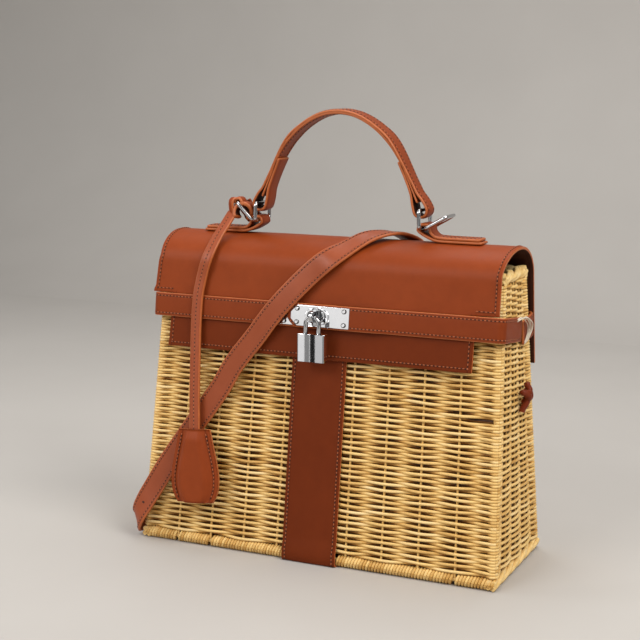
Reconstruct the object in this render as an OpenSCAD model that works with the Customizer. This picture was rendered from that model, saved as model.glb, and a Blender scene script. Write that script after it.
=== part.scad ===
// Basket box bag: a woven tapered basket under a leather flap, with belts, lock, handle, key bell and shoulder strap.
// Millimetres, +Z up, front faces -Y, origin at the middle of the foot.

/* [Basket] */
// Width of the basket at the foot
base_w = 284; // [240:1:340]
// How much narrower the basket is at the rim
taper_w = 16; // [0:1:40]
// Depth of the basket at the foot
base_d = 108; // [90:1:140]
// Depth of the basket at the rim
top_d = 53; // [45:1:80]
// Height of the basket to the top of the rim
basket_h = 219; // [180:1:260]
// Thickness of the woven wall
wall_t = 3.2; // [2.4:0.1:5]
// How far a strand stands out of the wall
bulge = 1.0; // [0.6:0.1:1.6]
// Woven courses in a wall
courses = 26; // [18:2:28]
// Spaces between stakes on the front and back
front_bays = 10; // [8:2:12]
// Spaces between stakes on a side
side_bays = 4; // [3:1:5]
// Width of a gap beside a stake
gap_w = 5; // [3:0.5:7]
// Diameter of a corner post
post_d = 6.5; // [5:0.5:9]
// Height and width of the foot border and the rim
border = 9; // [7:0.5:12]
// Thickness of the woven floor
floor_t = 3; // [2:0.5:5]

/* [Leather] */
// Thickness of the flap
flap_t = 2.2; // [1.6:0.1:3]
// How much narrower the flap is than the foot
flap_in = 8; // [4:1:30]
// How far the flap's top is above the rim
crown = 16; // [12:0.5:24]
// How much narrower the tongue below the belt is than the foot
tongue_in = 42; // [30:1:90]
// Depth of the tongue's lower edge below the rim's top
tongue_drop = 69; // [55:1:100]
// Depth of the ears beside the tongue below the rim's top
ear_drop = 28; // [20:1:29]
// Thickness of the belts
belt_t = 1.8; // [1.2:0.1:2.4]
// Width of the belts
belt_h = 17.5; // [14:0.5:20]
// Depth of the belts' lower edge below the rim's top
belt_drop = 47.5; // [46:0.5:52]
// Thickness of the front band
band_t = 1.6; // [1.2:0.1:2.2]
// Width of the front band
band_w = 43; // [30:1:60]
// Width of the handle
handle_w = 15; // [12:0.5:18]
// Height of the handle's arch over its rings
handle_rise = 68.5; // [55:0.5:95]
// Width of a tab
tab_w = 14; // [10:0.5:16]
// How far a tab reaches beyond the handle's ring
tab_l = 46.5; // [36:0.5:56]

/* [Metal] */
// Wire of the rings
wire = 2.8; // [2.2:0.1:3.4]
// Half the distance between the handle's rings
ring_x = 65; // [50:1:80]
// Thickness of the belt plates
plate_t = 0.8; // [0.5:0.1:1.2]
// How far the upper plate reaches to the left of the lock
plate_l = 21; // [18:0.5:26]
// How far the upper plate reaches to the right of the lock
plate_r = 25; // [18:0.5:30]
// How far the lower plate reaches to the left of the lock
under_l = 31; // [28:0.5:36]
// Width of the lock's post
lock_w = 14; // [11:0.5:16]
// Padlock body: width
pad_w = 21.5; // [18:0.5:24]
// Padlock body: height
pad_h = 20; // [16:0.5:24]
// Padlock body: thickness
pad_t = 6.5; // [5.5:0.5:7]
// Wire of the shackle
shackle_d = 3.2; // [2.6:0.1:3.4]

/* [Straps] */
// Width of the shoulder strap
strap_w = 16.5; // [12:0.5:20]
// Thickness of the shoulder strap
strap_t = 2.2; // [1.6:0.1:2.4]
// Width of the key bell's lace
lace_w = 8.5; // [6:0.5:10]
// Thickness of the key bell's lace
lace_t = 2.2; // [1.6:0.1:2.6]
// Height of the key bell
bell_h = 55; // [45:1:60]
// Width of the key bell
bell_w = 40; // [32:1:46]

/* [Fits] */
// Room between pieces that lie on each other
seat = 0.2; // [0.1:0.05:0.3]
// Room round what turns or slides
play = 0.3; // [0.2:0.05:0.5]

/* [Hidden] */
$fn = 40;
top_w = base_w - taper_w;
flap_w = base_w - flap_in;
tongue_w = base_w - tongue_in;
tongue_z = basket_h - tongue_drop;
ear_z = basket_h - ear_drop;
belt_z = basket_h - belt_drop;
k = (base_d - top_d) / 2 / basket_h;
kx = (base_w - top_w) / 2 / basket_h;
a = atan(k);
wall_lo = border;
wall_hi = basket_h - border;
post_in = post_d / 2 - bulge - 0.05;
wall_end = post_in + post_d / 2 + seat;
proud = 1.2;
foot_x = base_w / 2 + proud;
foot_y = base_d / 2 + proud;
rim_x = base_w / 2 - kx * wall_hi + proud;
rim_y = base_d / 2 - k * wall_hi + proud;
ci = 4;
// Layers on the front, measured outward from the wall's plane
band_o = bulge + seat;
tongue_o = band_o + band_t + seat;
belt_o = tongue_o + flap_t + seat;
lplate_o = belt_o + belt_t + 0.05;
rbelt_o = lplate_o + plate_t + seat;
rplate_o = rbelt_o + belt_t + 0.05;
boss_o = rplate_o + plate_t + 1.3;
knob_o = boss_o + seat;
bar_t = 2;
eye_r = shackle_d / 2 + 1.0;
eye_o = knob_o + bar_t + eye_r + 2;
eye_out = eye_r + 1.6;
tail_o = bulge + seat + 0.1 + belt_t + seat;
side_x = base_w / 2 - kx * belt_z + bulge + 0.4;
lock_z = belt_z + belt_h / 2;
lock_h = 7;
slot = 2 * play;
top_z = basket_h + crown;
bar_z = top_z + 10;
hbar_z = bar_z + 13;
ring_half = handle_w / 2 + 4.2;
sring_half = tab_w / 2 + 2.6;
sring_gap = wire + 0.8;
sring_l = 18;
sring_a = 30;
lring_a = 45;
shack_r = 5.15;
leg = 12;
leg_in = 7;

straw = [0.86, 0.70, 0.42];
tan_leather = [0.62, 0.28, 0.14];
chrome = [0.82, 0.83, 0.85];
cream = [0.93, 0.89, 0.80];

function yf(z, o = 0) = -(base_d / 2 - k * z) - o / cos(a);
function unit(v) = v / norm(v);
function off2(p, d) = [for (i = [0:len(p) - 1]) let (t = unit(p[min(i + 1, len(p) - 1)] - p[max(i - 1, 0)])) p[i] + d * [t[1], -t[0]]];
function rev(p) = [for (i = [len(p) - 1:-1:0]) p[i]];
function band2(p, d0, d1) = concat(off2(p, d0), rev(off2(p, d1)));

module on_front() { translate([0, -base_d / 2, 0]) rotate([-a, 0, 0]) children(); }
module on_back() { rotate([0, 0, 180]) on_front() children(); }
// A plate outline in X and Z, from offset o outward by t
module face_plate(o, t) { translate([0, -o, 0]) rotate([90, 0, 0]) linear_extrude(t) children(); }
module oblong(w, h, o, t) {
    for (s = [-1, 1]) translate([s * (w - h) / 2, -o, 0]) rotate([90, 0, 0]) cylinder(d = h, h = t);
    translate([-(w - h) / 2, -o - t, -h / 2]) cube([w - h, t, h]);
}
module lock_slot(o, t) { on_front() translate([0, 0, lock_z / cos(a)]) oblong(lock_w + slot, lock_h + slot, o, t); }

// A woven wall facing -Y: strands pass in front of every second stake, with gaps beside the stakes
module woven(d0, sl, h0, hs, nb, gaps) {
    nr = 2 * courses;
    per = gaps ? 3 : 1;
    nc = per * nb;
    function zr(i) = wall_lo + (wall_hi - wall_lo) * (floor(i / 2) + (i % 2) * 0.35) / courses;
    function sj(j) = gaps ? floor((j + 1) / 3) : j;
    function xr(j, z) = let (h = h0 - hs * z, p = 2 * h / nb, r = j % 3) gaps ? -h + p * sj(j) + (r == 1 ? gap_w : r == 2 ? -gap_w : 0) : -h + p * j;
    function out(i, j) = i % 2 == 0 ? -0.9 : ((floor(i / 2) + sj(j)) % 2 == 0 ? bulge : -0.7);
    function is_gap(i, j) = gaps && i > 0 && i % 2 == 0 && j % 3 == 0 && j > 0 && (i / 2 + j / 3) % 2 == 0;
    function o(i, j) = i * (nc + 1) + j;
    m = (nr + 1) * (nc + 1);
    ca = cos(atan(sl));
    sa = sin(atan(sl));
    function at(i, j, f) = let (z = zr(i)) [xr(j, z), -d0 + sl * z - f * ca, z + (i > 0 && i < nr ? f * sa : 0)];
    pts = concat([for (i = [0:nr]) for (j = [0:nc]) at(i, j, out(i, j))], [for (i = [0:nr]) for (j = [0:nc]) at(i, j, -wall_t)]);
    function hole(p, q) = [[p, q, q + m], [p, q + m, p + m]];
    faces = concat(
        [for (i = [0:nr - 1]) for (j = [0:nc - 1]) if (!is_gap(i, j)) for (t = [[o(i, j), o(i + 1, j), o(i + 1, j + 1)], [o(i, j), o(i + 1, j + 1), o(i, j + 1)], [m + o(i, j), m + o(i + 1, j + 1), m + o(i + 1, j)], [m + o(i, j), m + o(i, j + 1), m + o(i + 1, j + 1)]]) t],
        [for (i = [0:nr - 1]) for (j = [0:nc - 1]) if (is_gap(i, j)) for (t = concat(hole(o(i, j), o(i + 1, j)), hole(o(i + 1, j), o(i + 1, j + 1)), hole(o(i + 1, j + 1), o(i, j + 1)), hole(o(i, j + 1), o(i, j)))) t],
        [for (j = [0:nc - 1]) for (t = concat(hole(o(0, j), o(0, j + 1)), hole(o(nr, j + 1), o(nr, j)))) t],
        [for (i = [0:nr - 1]) for (t = concat(hole(o(i + 1, 0), o(i, 0)), hole(o(i, nc), o(i + 1, nc)))) t]);
    polyhedron(pts, faces, convexity = 8);
}
module front_weave() { color(straw) woven(base_d / 2, k, base_w / 2 - wall_end, kx, front_bays, true); }
module back_weave() { color(straw) rotate([0, 0, 180]) woven(base_d / 2, k, base_w / 2 - wall_end, kx, front_bays, false); }
module left_weave() { color(straw) rotate([0, 0, -90]) woven(base_w / 2, kx, base_d / 2 - wall_end, k, side_bays, false); }
module right_weave() { color(straw) rotate([0, 0, 90]) woven(base_w / 2, kx, base_d / 2 - wall_end, k, side_bays, false); }

// A corner post leans with the two walls that it joins
module post(sx, sy) {
    v = [-sx * kx, -sy * k, 1];
    lift = post_d / 2 * norm([kx, k]) + 0.05;
    lo = wall_lo + lift;
    color(straw) translate([sx * (base_w / 2 - post_in), sy * (base_d / 2 - post_in), 0] + lo * v) rotate([0, acos(1 / norm(v)), atan2(v[1], v[0])]) cylinder(d = post_d, h = (wall_hi - wall_lo - 2 * lift) * norm(v));
}
module front_left_post() { post(-1, -1); }
module front_right_post() { post(1, -1); }
module back_left_post() { post(-1, 1); }
module back_right_post() { post(1, 1); }

module woven_floor() {
    hx = base_w / 2 - kx * (border + floor_t) - wall_t - seat;
    hy = base_d / 2 - k * (border + floor_t) - wall_t - seat;
    r = post_d + 2;
    color(straw) translate([0, 0, border]) {
        translate([-hx + r, -hy, 0]) cube([2 * (hx - r), 2 * hy, floor_t]);
        translate([-hx, -hy + r, 0]) cube([2 * hx, 2 * (hy - r), floor_t]);
        for (x = [-1, 1]) for (y = [-1, 1]) translate([x * (hx - r), y * (hy - r), 0]) cylinder(r = r, h = floor_t);
    }
}

// A border of eight-sided section round a rectangle, with its outside at half sizes hx and hy
module roll(hx, hy) {
    c = border * 0.28;
    s = [[0, c], [c, 0], [border - c, 0], [border, c], [border, border - c], [border - c, border], [c, border], [0, border - c]];
    r = ci + border;
    for (q = [0, 180]) rotate([0, 0, q]) {
        translate([-(hx - r), -hy + border, 0]) rotate([90, 0, 90]) linear_extrude(2 * (hx - r)) polygon([for (p = s) [-p[0], p[1]]]);
        translate([hx - border, -(hy - r), 0]) rotate([90, 0, 180]) mirror([1, 0, 0]) linear_extrude(2 * (hy - r)) polygon(s);
        translate([hx - r, -(hy - r), 0]) rotate([0, 0, -90]) rotate_extrude(angle = 90) polygon([for (p = s) [p[0] + ci, p[1]]]);
        translate([hx - r, hy - r, 0]) rotate_extrude(angle = 90) polygon([for (p = s) [p[0] + ci, p[1]]]);
    }
}
module notch(x, y, lean) { translate([x, y, border / 2]) rotate([0, lean, 0]) rotate([0, 0, 45]) cube([1.5, 1.5, 2 * border], center = true); }
module foot_border() {
    px = 2 * (base_w / 2 - wall_end) / front_bays;
    py = 2 * (base_d / 2 - wall_end) / side_bays;
    color(straw) difference() {
        roll(foot_x, foot_y);
        for (j = [1:front_bays - 1]) for (s = [-1, 1]) notch((j - front_bays / 2) * px, s * foot_y, 0);
        for (j = [1:side_bays - 1]) for (s = [-1, 1]) notch(s * foot_x, (j - side_bays / 2) * py, 0);
        translate([-band_w / 2 - seat, -foot_y - 1, -1]) cube([band_w + 2 * seat, border + 2, 1 + band_t + seat]);
    }
}
module top_rim() {
    py = 2 * (rim_y - border) / side_bays;
    color(straw) translate([0, 0, wall_hi]) difference() {
        roll(rim_x, rim_y);
        for (j = [0:side_bays]) for (s = [-1, 1]) translate([s * rim_x, (j - side_bays / 2) * py, border / 2]) rotate([35, 0, 0]) rotate([0, 0, 45]) cube([1.5, 1.5, 2 * border], center = true);
    }
}

fo = tongue_o + flap_t;
bo = tail_o + flap_t;
arch_z = basket_h - 8;
// The tongue hangs a little to the left
tongue_dx = -4.5;
tail_z = tongue_z - 5;
hf = -yf(arch_z, fo);
hb = -yf(arch_z, bo);
rise = top_z - arch_z;
flap_line = concat([[yf(tongue_z, fo), tongue_z]], [for (t = [180:-15:0]) [(t > 90 ? hf : hb) * cos(t) * (1 - 0.05 * sin(t)), arch_z + rise * pow(sin(t), 0.86)]], [[-yf(tail_z, bo), tail_z]]);
module flap() {
    color(tan_leather) difference() {
        translate([-flap_w / 2, 0, 0]) rotate([90, 0, 90]) linear_extrude(flap_w) polygon(band2(flap_line, 0, flap_t));
        for (s = [-1, 1]) translate([tongue_dx + (s > 0 ? tongue_w / 2 : -tongue_w / 2 - flap_w), -base_d, 0]) cube([flap_w, base_d, ear_z]);
        lock_slot(tongue_o - 1, flap_t + 2);
    }
}
module front_band() {
    hi = belt_z + belt_h - 3;
    fy = -foot_y - 0.15;
    inner = [[yf(hi, band_o), hi], [yf(border + 6, band_o), border + 6], [fy, border], [fy, 2.4], [fy + 0.65, band_t + 0.1], [fy + border - 0.6, band_t + 0.1]];
    outer = [[yf(hi, band_o + band_t), hi], [yf(border + 6, band_o + band_t), border + 6.3], [fy - band_t, border + 0.3], [fy - band_t, 1.6], [fy, 0.1], [fy + border - 0.6, 0.1]];
    color(tan_leather) translate([-band_w / 2, 0, 0]) rotate([90, 0, 90]) linear_extrude(band_w) polygon(concat(inner, rev(outer)));
}

belt_s = belt_z / cos(a);
belt_end = -yf(belt_z, 0) + 2;
module belt_strip(p) { on_front() translate([0, 0, belt_s]) linear_extrude(belt_h) polygon(p); }
function belt_turn(s, o) = [[s * side_x, belt_end], [s * side_x, -o + 2.4], [s * (side_x - 0.7), -o + 0.7], [s * (side_x - 2.4), -o]];
tip_x = -plate_l - 3;
left_end = 13;
module left_belt() {
    color(tan_leather) difference() {
        belt_strip(band2(concat(belt_turn(-1, belt_o), [[left_end, -belt_o]]), 0, belt_t));
        lock_slot(belt_o - 1, belt_t + 2);
    }
}
module right_belt() {
    color(tan_leather) difference() {
        belt_strip(band2(concat(belt_turn(1, belt_o), [[62, -belt_o], [56, -belt_o - 0.2], [40, -rbelt_o + 0.2], [34, -rbelt_o], [tip_x, -rbelt_o]]), 0, -belt_t));
        lock_slot(rbelt_o - 1, belt_t + 2);
        on_front() for (s = [0, 1]) translate([tip_x, -rbelt_o - belt_t - 1, belt_s + s * belt_h]) rotate([0, 45, 0]) cube([8, 20, 8], center = true);
    }
}
back_drop = 5;
module back_belt() {
    o = bulge + seat + 0.1;
    e = belt_end - 10;
    half = [[side_x, e], [side_x, -o + 2.4], [side_x - 0.7, -o + 0.7], [side_x - 2.4, -o]];
    color(tan_leather) on_back() translate([0, 0, belt_s - back_drop]) linear_extrude(belt_h) polygon(band2(concat(half, rev([for (p = half) [-p[0], p[1]]])), 0, -belt_t));
}
// A waxed thread holds the ends of the belts together on each side
module thread(x, p, q, d) {
    v = [0, q[0] - p[0], q[1] - p[1]];
    translate([x, p[0], p[1]]) rotate([0, acos(v[2] / norm(v)), v[1] >= 0 ? 90 : -90]) cylinder(d = d, h = norm(v));
}
module tie(s) {
    d = 1.3;
    x = s * (side_x + belt_t + d / 2 + 0.05);
    color(cream) {
        for (w = [0, 2]) thread(x, [-9, lock_z + 4 - w], [13, lock_z - 8 - w], d);
        thread(x + s * 0.1, [-8.6, lock_z + 5], [-8.6, lock_z + 0.6], d + 0.2);
        thread(x + s * 0.1, [12.6, lock_z - 6.6], [12.6, lock_z - 11], d + 0.2);
    }
}
module left_tie() { tie(-1); }
module right_tie() { tie(1); }

plate_h = belt_h - 2.5;
plate_c = 5.2;
module left_plate() {
    color(chrome) difference() {
        on_front() translate([0, 0, belt_s + belt_h / 2]) face_plate(lplate_o, plate_t) polygon([[-under_l, -plate_h / 2], [left_end - 1, -plate_h / 2], [left_end - 1, plate_h / 2], [-under_l, plate_h / 2]]);
        lock_slot(lplate_o - 1, plate_t + 2);
    }
}
module right_plate() {
    h = plate_h / 2;
    color(chrome) difference() {
        on_front() translate([0, 0, belt_s + belt_h / 2]) {
            face_plate(rplate_o, plate_t) polygon([[-plate_l, -h + plate_c], [-plate_l + plate_c, -h], [plate_r, -h], [plate_r, h], [-plate_l + plate_c, h], [-plate_l, h - plate_c]]);
            oblong(lock_w + slot + 3.6, lock_h + slot + 3.6, rplate_o, plate_t + 1.3);
        }
        lock_slot(rplate_o - 1, plate_t + 4);
    }
}
module plate_rivets() {
    h = plate_h / 2 - 2.6;
    color(chrome) on_front() translate([0, 0, belt_s + belt_h / 2]) {
        for (x = [-plate_l + 5, plate_r - 4]) for (z = [-h, h]) translate([x, -rplate_o - plate_t - 0.02, z]) rotate([90, 0, 0]) cylinder(d = 3, h = 0.6);
        for (z = [-h, h]) translate([-under_l + 3.5, -lplate_o - plate_t - 0.02, z]) rotate([90, 0, 0]) cylinder(d = 3, h = 0.6);
    }
}

// The post stands on the front band and passes through the flap and both belts
stem_d = 4;
stem_l = 5;
lock_s = lock_z / cos(a);
module lock_post() {
    color(chrome) on_front() translate([0, 0, lock_s]) difference() {
        oblong(lock_w, lock_h, band_o + band_t + 0.02, boss_o - band_o - band_t - 0.02);
        translate([0, -boss_o + stem_l + play, 0]) rotate([90, 0, 0]) cylinder(d = stem_d + 2 * play / 2, h = stem_l + 2);
    }
}
module turn_knob() {
    color(chrome) on_front() translate([0, 0, lock_s]) difference() {
        union() {
            translate([0, -boss_o + stem_l, 0]) rotate([90, 0, 0]) cylinder(d = stem_d, h = stem_l + seat + 0.5);
            rotate([0, 90, 0]) oblong(lock_w - 0.5, lock_h - 1, knob_o, bar_t);
            translate([-1.5, -eye_o, 0]) rotate([0, 90, 0]) cylinder(r = eye_out, h = 3);
            translate([-1.5, -eye_o, -eye_out]) cube([3, eye_o - knob_o - bar_t / 2, 2 * eye_out]);
        }
        translate([-3, -eye_o, 0]) rotate([0, 90, 0]) cylinder(r = eye_r, h = 6);
    }
}
// The middle of the wire at the top of the shackle, hanging in the knob's eye
pad_y = -base_d / 2 + lock_s * sin(a) - eye_o * cos(a);
pad_z = lock_s * cos(a) + eye_o * sin(a) - 0.5;
module shackle() {
    color(chrome) translate([0, pad_y, pad_z - shack_r]) {
        rotate([90, 0, 0]) rotate_extrude(angle = 180) translate([shack_r, 0]) circle(d = shackle_d);
        for (s = [-1, 1]) translate([s * shack_r, 0, -(leg - shack_r + leg_in)]) cylinder(d = shackle_d, h = leg - shack_r + leg_in);
    }
}
module padlock_body() {
    r = 1.2;
    color(chrome) translate([0, pad_y, pad_z - leg - pad_h]) difference() {
        union() {
            translate([-pad_w / 2 + r, -pad_t / 2, 0]) cube([pad_w - 2 * r, pad_t, pad_h]);
            translate([-pad_w / 2, -pad_t / 2 + r, 0]) cube([pad_w, pad_t - 2 * r, pad_h]);
            for (x = [-1, 1]) for (y = [-1, 1]) translate([x * (pad_w / 2 - r), y * (pad_t / 2 - r), 0]) cylinder(r = r, h = pad_h);
        }
        for (s = [-1, 1]) translate([s * shack_r, 0, pad_h - leg_in - 1]) cylinder(d = shackle_d + 2 * play / 2, h = leg_in + 2);
        translate([0, 0, -1]) cylinder(d = 2.4, h = 5);
        translate([-0.5, -2, -1]) cube([1, 4, 5]);
    }
}

// The handle's ends fold round the rings in roomy loops
top_c = hbar_z + handle_rise;
half_arch = [for (p = [[0.964, 0.09], [0.89, 0.27], [0.78, 0.475], [0.645, 0.67], [0.46, 0.84], [0.235, 0.96], [0, 1]]) [p[0] * ring_x, hbar_z + p[1] * handle_rise]];
arch = concat(half_arch, rev([for (i = [0:len(half_arch) - 2]) [-half_arch[i][0], half_arch[i][1]]]));
fold_t = 2.2;
loop_r = 4.4;
leg_d = unit([half_arch[2][0] - ring_x, half_arch[2][1] - hbar_z]);
leg_n = [leg_d[1], -leg_d[0]];
module slab(w) { translate([0, w / 2, 0]) rotate([90, 0, 0]) linear_extrude(w) children(); }
module handle() {
    b = [ring_x, hbar_z];
    ro = loop_r + fold_t;
    half = wire / 2 + play + 0.1;
    c = b - (loop_r - half) * leg_n;
    color(tan_leather) difference() {
        union() {
            slab(handle_w) polygon(band2(arch, -2.5, 2.5));
            for (s = [0, 1]) mirror([s, 0, 0]) {
                translate([c[0], handle_w / 2, c[1]]) rotate([90, 0, 0]) cylinder(r = ro, h = handle_w);
                slab(handle_w) polygon([c + ro * leg_n, b + 26 * leg_d + 3 * leg_n, b + 26 * leg_d - 4.6 * leg_n, c - ro * leg_n]);
                slab(handle_w) polygon([b + 20 * leg_d, b + 38 * leg_d + 0.5 * leg_n, b + 38 * leg_d - 4.4 * leg_n, b + 20 * leg_d - 5 * leg_n]);
            }
        }
        for (s = [0, 1]) mirror([s, 0, 0]) {
            translate([c[0], handle_w, c[1]]) rotate([90, 0, 0]) cylinder(r = loop_r, h = 2 * handle_w);
            slab(2 * handle_w) polygon([b + [half, -loop_r], b + [half, loop_r], b + [-half, loop_r], b + [-half, -loop_r]]);
            slab(2 * handle_w) polygon([c + loop_r * leg_n, b + 12 * leg_d - 0.2 * leg_n, b + 12 * leg_d - 0.8 * leg_n, c - loop_r * leg_n]);
        }
    }
}
// A rounded rectangle of wire from (x0, z0) to (x1, z1), h to each side
module wire_ring(x0, z0, x1, z1, h) {
    l = norm([x1 - x0, z1 - z0]);
    r = wire / 2 + 1;
    translate([x0, 0, z0]) rotate([0, -atan2(z1 - z0, x1 - x0), 0]) {
        for (y = [-h, h]) translate([r, y, 0]) rotate([0, 90, 0]) cylinder(d = wire, h = l - 2 * r);
        for (x = [0, l]) translate([x, h - r, 0]) rotate([90, 0, 0]) cylinder(d = wire, h = 2 * (h - r));
        for (c = [[l - r, h - r, 0], [r, h - r, 90], [r, r - h, 180], [l - r, r - h, 270]]) translate([c[0], c[1], 0]) rotate([0, 0, c[2]]) rotate_extrude(angle = 90) translate([r, 0]) circle(d = wire);
    }
}
module right_handle_ring() { color(chrome) wire_ring(ring_x + 0.5, bar_z, ring_x, hbar_z, ring_half); }
module left_handle_ring() { mirror([1, 0, 0]) right_handle_ring(); }
sx0 = ring_x + 0.5 + sring_gap;
sx1 = sx0 + sring_l * cos(sring_a);
sz1 = bar_z + sring_l * sin(sring_a);
module right_strap_ring() { color(chrome) wire_ring(sx0, bar_z, sx1, sz1, sring_half); }
// The knot holds the left ring steeper
lx1 = sx0 + sring_l * cos(lring_a);
lz1 = bar_z + sring_l * sin(lring_a);
module left_strap_ring() { color(chrome) mirror([1, 0, 0]) wire_ring(sx0, bar_z, lx1, lz1, sring_half); }

tab_t = 2;
module tab(s) {
    hx = ring_x + 0.5;
    br = wire / 2 + play / 2;
    zt = top_z + seat;
    color(tan_leather) mirror([s < 0 ? 1 : 0, 0, 0]) difference() {
        union() {
            for (x = [hx, sx0]) translate([x, tab_w / 2, bar_z]) rotate([90, 0, 0]) cylinder(r = br + tab_t, h = tab_w);
            slab(tab_w) polygon([[hx, bar_z - br - tab_t], [sx0, bar_z - br - tab_t], [sx0, bar_z + br + tab_t], [hx, bar_z + br + tab_t]]);
            slab(tab_w) polygon([[hx - 1.5, bar_z - 3], [sx0 + 1.5, bar_z - 3], [sx0 + 9, zt + 2 * tab_t], [ring_x + tab_l - 1.5, zt + 2 * tab_t], [ring_x + tab_l, zt + 2], [ring_x + tab_l, zt], [ring_x + 8, zt], [ring_x + 4, zt + 1]]);
        }
        for (x = [hx, sx0]) translate([x, tab_w, bar_z]) rotate([90, 0, 0]) cylinder(r = br, h = 2 * tab_w);
        slab(2 * tab_w) polygon([[hx, bar_z - br * 0.7], [sx0, bar_z - br * 0.7], [sx0, bar_z + br * 0.7], [hx, bar_z + br * 0.7]]);
    }
}
module left_tab() { tab(-1); }
module right_tab() { tab(1); }

// A flat strap swept along points p with outward normals n
module ribbon(p, n, w, t) {
    last = len(p) - 1;
    function tg(i) = unit(p[min(i + 1, last)] - p[max(i - 1, 0)]);
    function across(i) = unit(cross(tg(i), n[i]));
    function up(i) = cross(across(i), tg(i));
    pts = [for (i = [0:last]) for (c = [[-1, -1], [1, -1], [1, 1], [-1, 1]]) p[i] + across(i) * c[0] * w / 2 + up(i) * c[1] * t / 2];
    side = [for (i = [0:last - 1]) for (c = [0:3]) let (q = (c + 1) % 4, b = 4 * i) for (f = [[b + c, b + 4 + c, b + 4 + q], [b + c, b + 4 + q, b + q]]) f];
    polyhedron(pts, concat(side, [[0, 1, 2], [0, 2, 3], [4 * last, 4 * last + 2, 4 * last + 1], [4 * last, 4 * last + 3, 4 * last + 2]]), convexity = 6);
}
fn = [0, -cos(a), sin(a)];
// Places on the front keep their distance to the lock and the rim near them, and stretch with the basket beyond
function px(x) = x > -60 ? x : -60 + (x + 60) * (base_w / 2 - 60) / 82;
function pz(z) = z > 150 ? basket_h - 219 + z : z * (basket_h - 69) / 150;
// A point on the front at an offset outward
function fp(x, z, o) = [px(x), yf(pz(z), o), pz(z)];
lace_p = [[-lx1 - 4.6, -7.5, lz1 - 7.2], [-lx1 - 6.6, -18, top_z + 5.4], [-lx1 - 8.8, -26, top_z - 3.2], fp(-93.2, 218, 9.4), fp(-97.2, 204, 8.6), fp(-99.3, 190, 9.0), fp(-99.6, 172, 9.4), fp(-98.4, 146, 10.4), fp(-96.4, 115, 11.8), fp(-94.6, 94, 12.6), fp(-94.1, 84, 12.8)];
lace_n = [[0, -0.5, 0.86], [0, -0.5, 0.86], [0, -0.75, 0.66], fn, fn, fn, fn, fn, fn, fn, fn];
module bell_lace() { color(tan_leather) ribbon(lace_p, lace_n, lace_w, lace_t); }
// The lace is wound round the ring's outer bar and drawn into a knot inside the ring, with a turn beside it
module lace_knot() {
    ri = wire / 2 + play / 2;
    color(tan_leather) translate([-lx1, 0, lz1]) {
        translate([0, 2.5, 0]) rotate([90, 0, 0]) rotate_extrude() polygon([[ri, 0], [ri + 1.8, 0], [ri + 2.4, 0.8], [ri + 2.4, 8.2], [ri + 1.8, 9], [ri, 9]]);
        translate([4.8, -2.5, -5]) rotate_extrude() polygon([[0, -5], [2.6, -5], [4.8, -2], [4.8, 2], [2.6, 5], [0, 5]]);
        translate([-4.2, -4, -4]) rotate_extrude() polygon([[0, -5.6], [1.6, -5.6], [2.7, -3.6], [2.7, 3.6], [1.6, 5.6], [0, 5.6]]);
    }
}
// The bell: two pieces sewn at the sides, open below
bell_t = 9.6;
function bell_line(i) = let (h = bell_w / 2 - i) [[-h * 0.64 + 0.1 * i, 0.04 - i * 0.3], [-h * 0.8, -bell_h * 0.27], [-h * 0.94, -bell_h * 0.5], [-h, -bell_h * 0.68], [-h * 0.95, -bell_h * 0.85], [-h * 0.74, -bell_h], [h * 0.74, -bell_h], [h * 0.95, -bell_h * 0.85], [h, -bell_h * 0.68], [h * 0.94, -bell_h * 0.5], [h * 0.8, -bell_h * 0.27], [h * 0.64 - 0.1 * i, 0.04 - i * 0.3]];
module key_bell() {
    top = fp(-94.3, 91, 12.8);
    color(tan_leather) translate(top) rotate([-a, 0, 0]) rotate([0, -4, 0]) difference() {
        union() {
            slab(3.2) polygon(bell_line(0));
            slab(6.8) polygon(bell_line(3.2));
            slab(bell_t) polygon(bell_line(6));
        }
        slab(bell_t - 4) polygon(concat([[-bell_w * 0.19, -3], [-bell_w * 0.33, -bell_h * 0.6], [-bell_w * 0.25, -bell_h - 1]], [[bell_w * 0.25, -bell_h - 1], [bell_w * 0.33, -bell_h * 0.6], [bell_w * 0.19, -3]]));
        slab(lace_t + 2 * play) polygon([[-lace_w / 2 - 1, -9], [lace_w / 2 + 1, -9], [lace_w / 2 + 1, 2], [-lace_w / 2 - 1, 2]]);
    }
}

bn = [0, cos(a), sin(a)];
function bp(x, z, o) = [x, -yf(pz(z), o), pz(z)];
strap_p = concat([[-70, base_d + 2, 1.4], [-30, base_d + 1, 1.4], [5, base_d - 5, 1.6], [30, base_d - 16, 3.4], [43, base_d - 27, 9], [49, base_d - 36, 20], bp(51.5, 46, 13), bp(53, 96, 10.5), bp(53.6, 146, 8.6), bp(53.6, 186, 6.9), bp(53, 206, 8.2), [52.4, -yf(basket_h - 2, 7.2), basket_h - 2]],
    [[51.5, 29.6, top_z - 9.6], [48, 17, top_z - 0.7], [42, 5.5, top_z + 4], [34.5, -5.5, top_z + 4.8], [26, -15, top_z + 2.2], [16, -24.4, top_z - 4.6]],
    [fp(5, 222.5, 8.6), fp(-7.4, 212, 9.4), fp(-22.8, 196, 11.3), fp(-32.1, 185.5, 11.7), fp(-40.7, 174.6, 11.2), fp(-49.7, 162.6, 9.8), fp(-66.4, 141.6, 8.0), fp(-78.5, 121.1, 6.9), fp(-99, 92, 5.8), fp(-119.2, 62.6, 4.8), fp(-131.2, 42.5, 4.8), fp(-138.4, 29.5, 6.2)],
    [[-foot_x - 2.0, -foot_y - 0.6, 17.5], [-foot_x - 4.0, -foot_y + 7, 11.5], [-foot_x - 3.4, -foot_y + 24, 9.4], [-foot_x - 3, 0, 9], [-foot_x - 3, foot_y - 14, 9]]);
ln = [-1, 0, 0];
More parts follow.
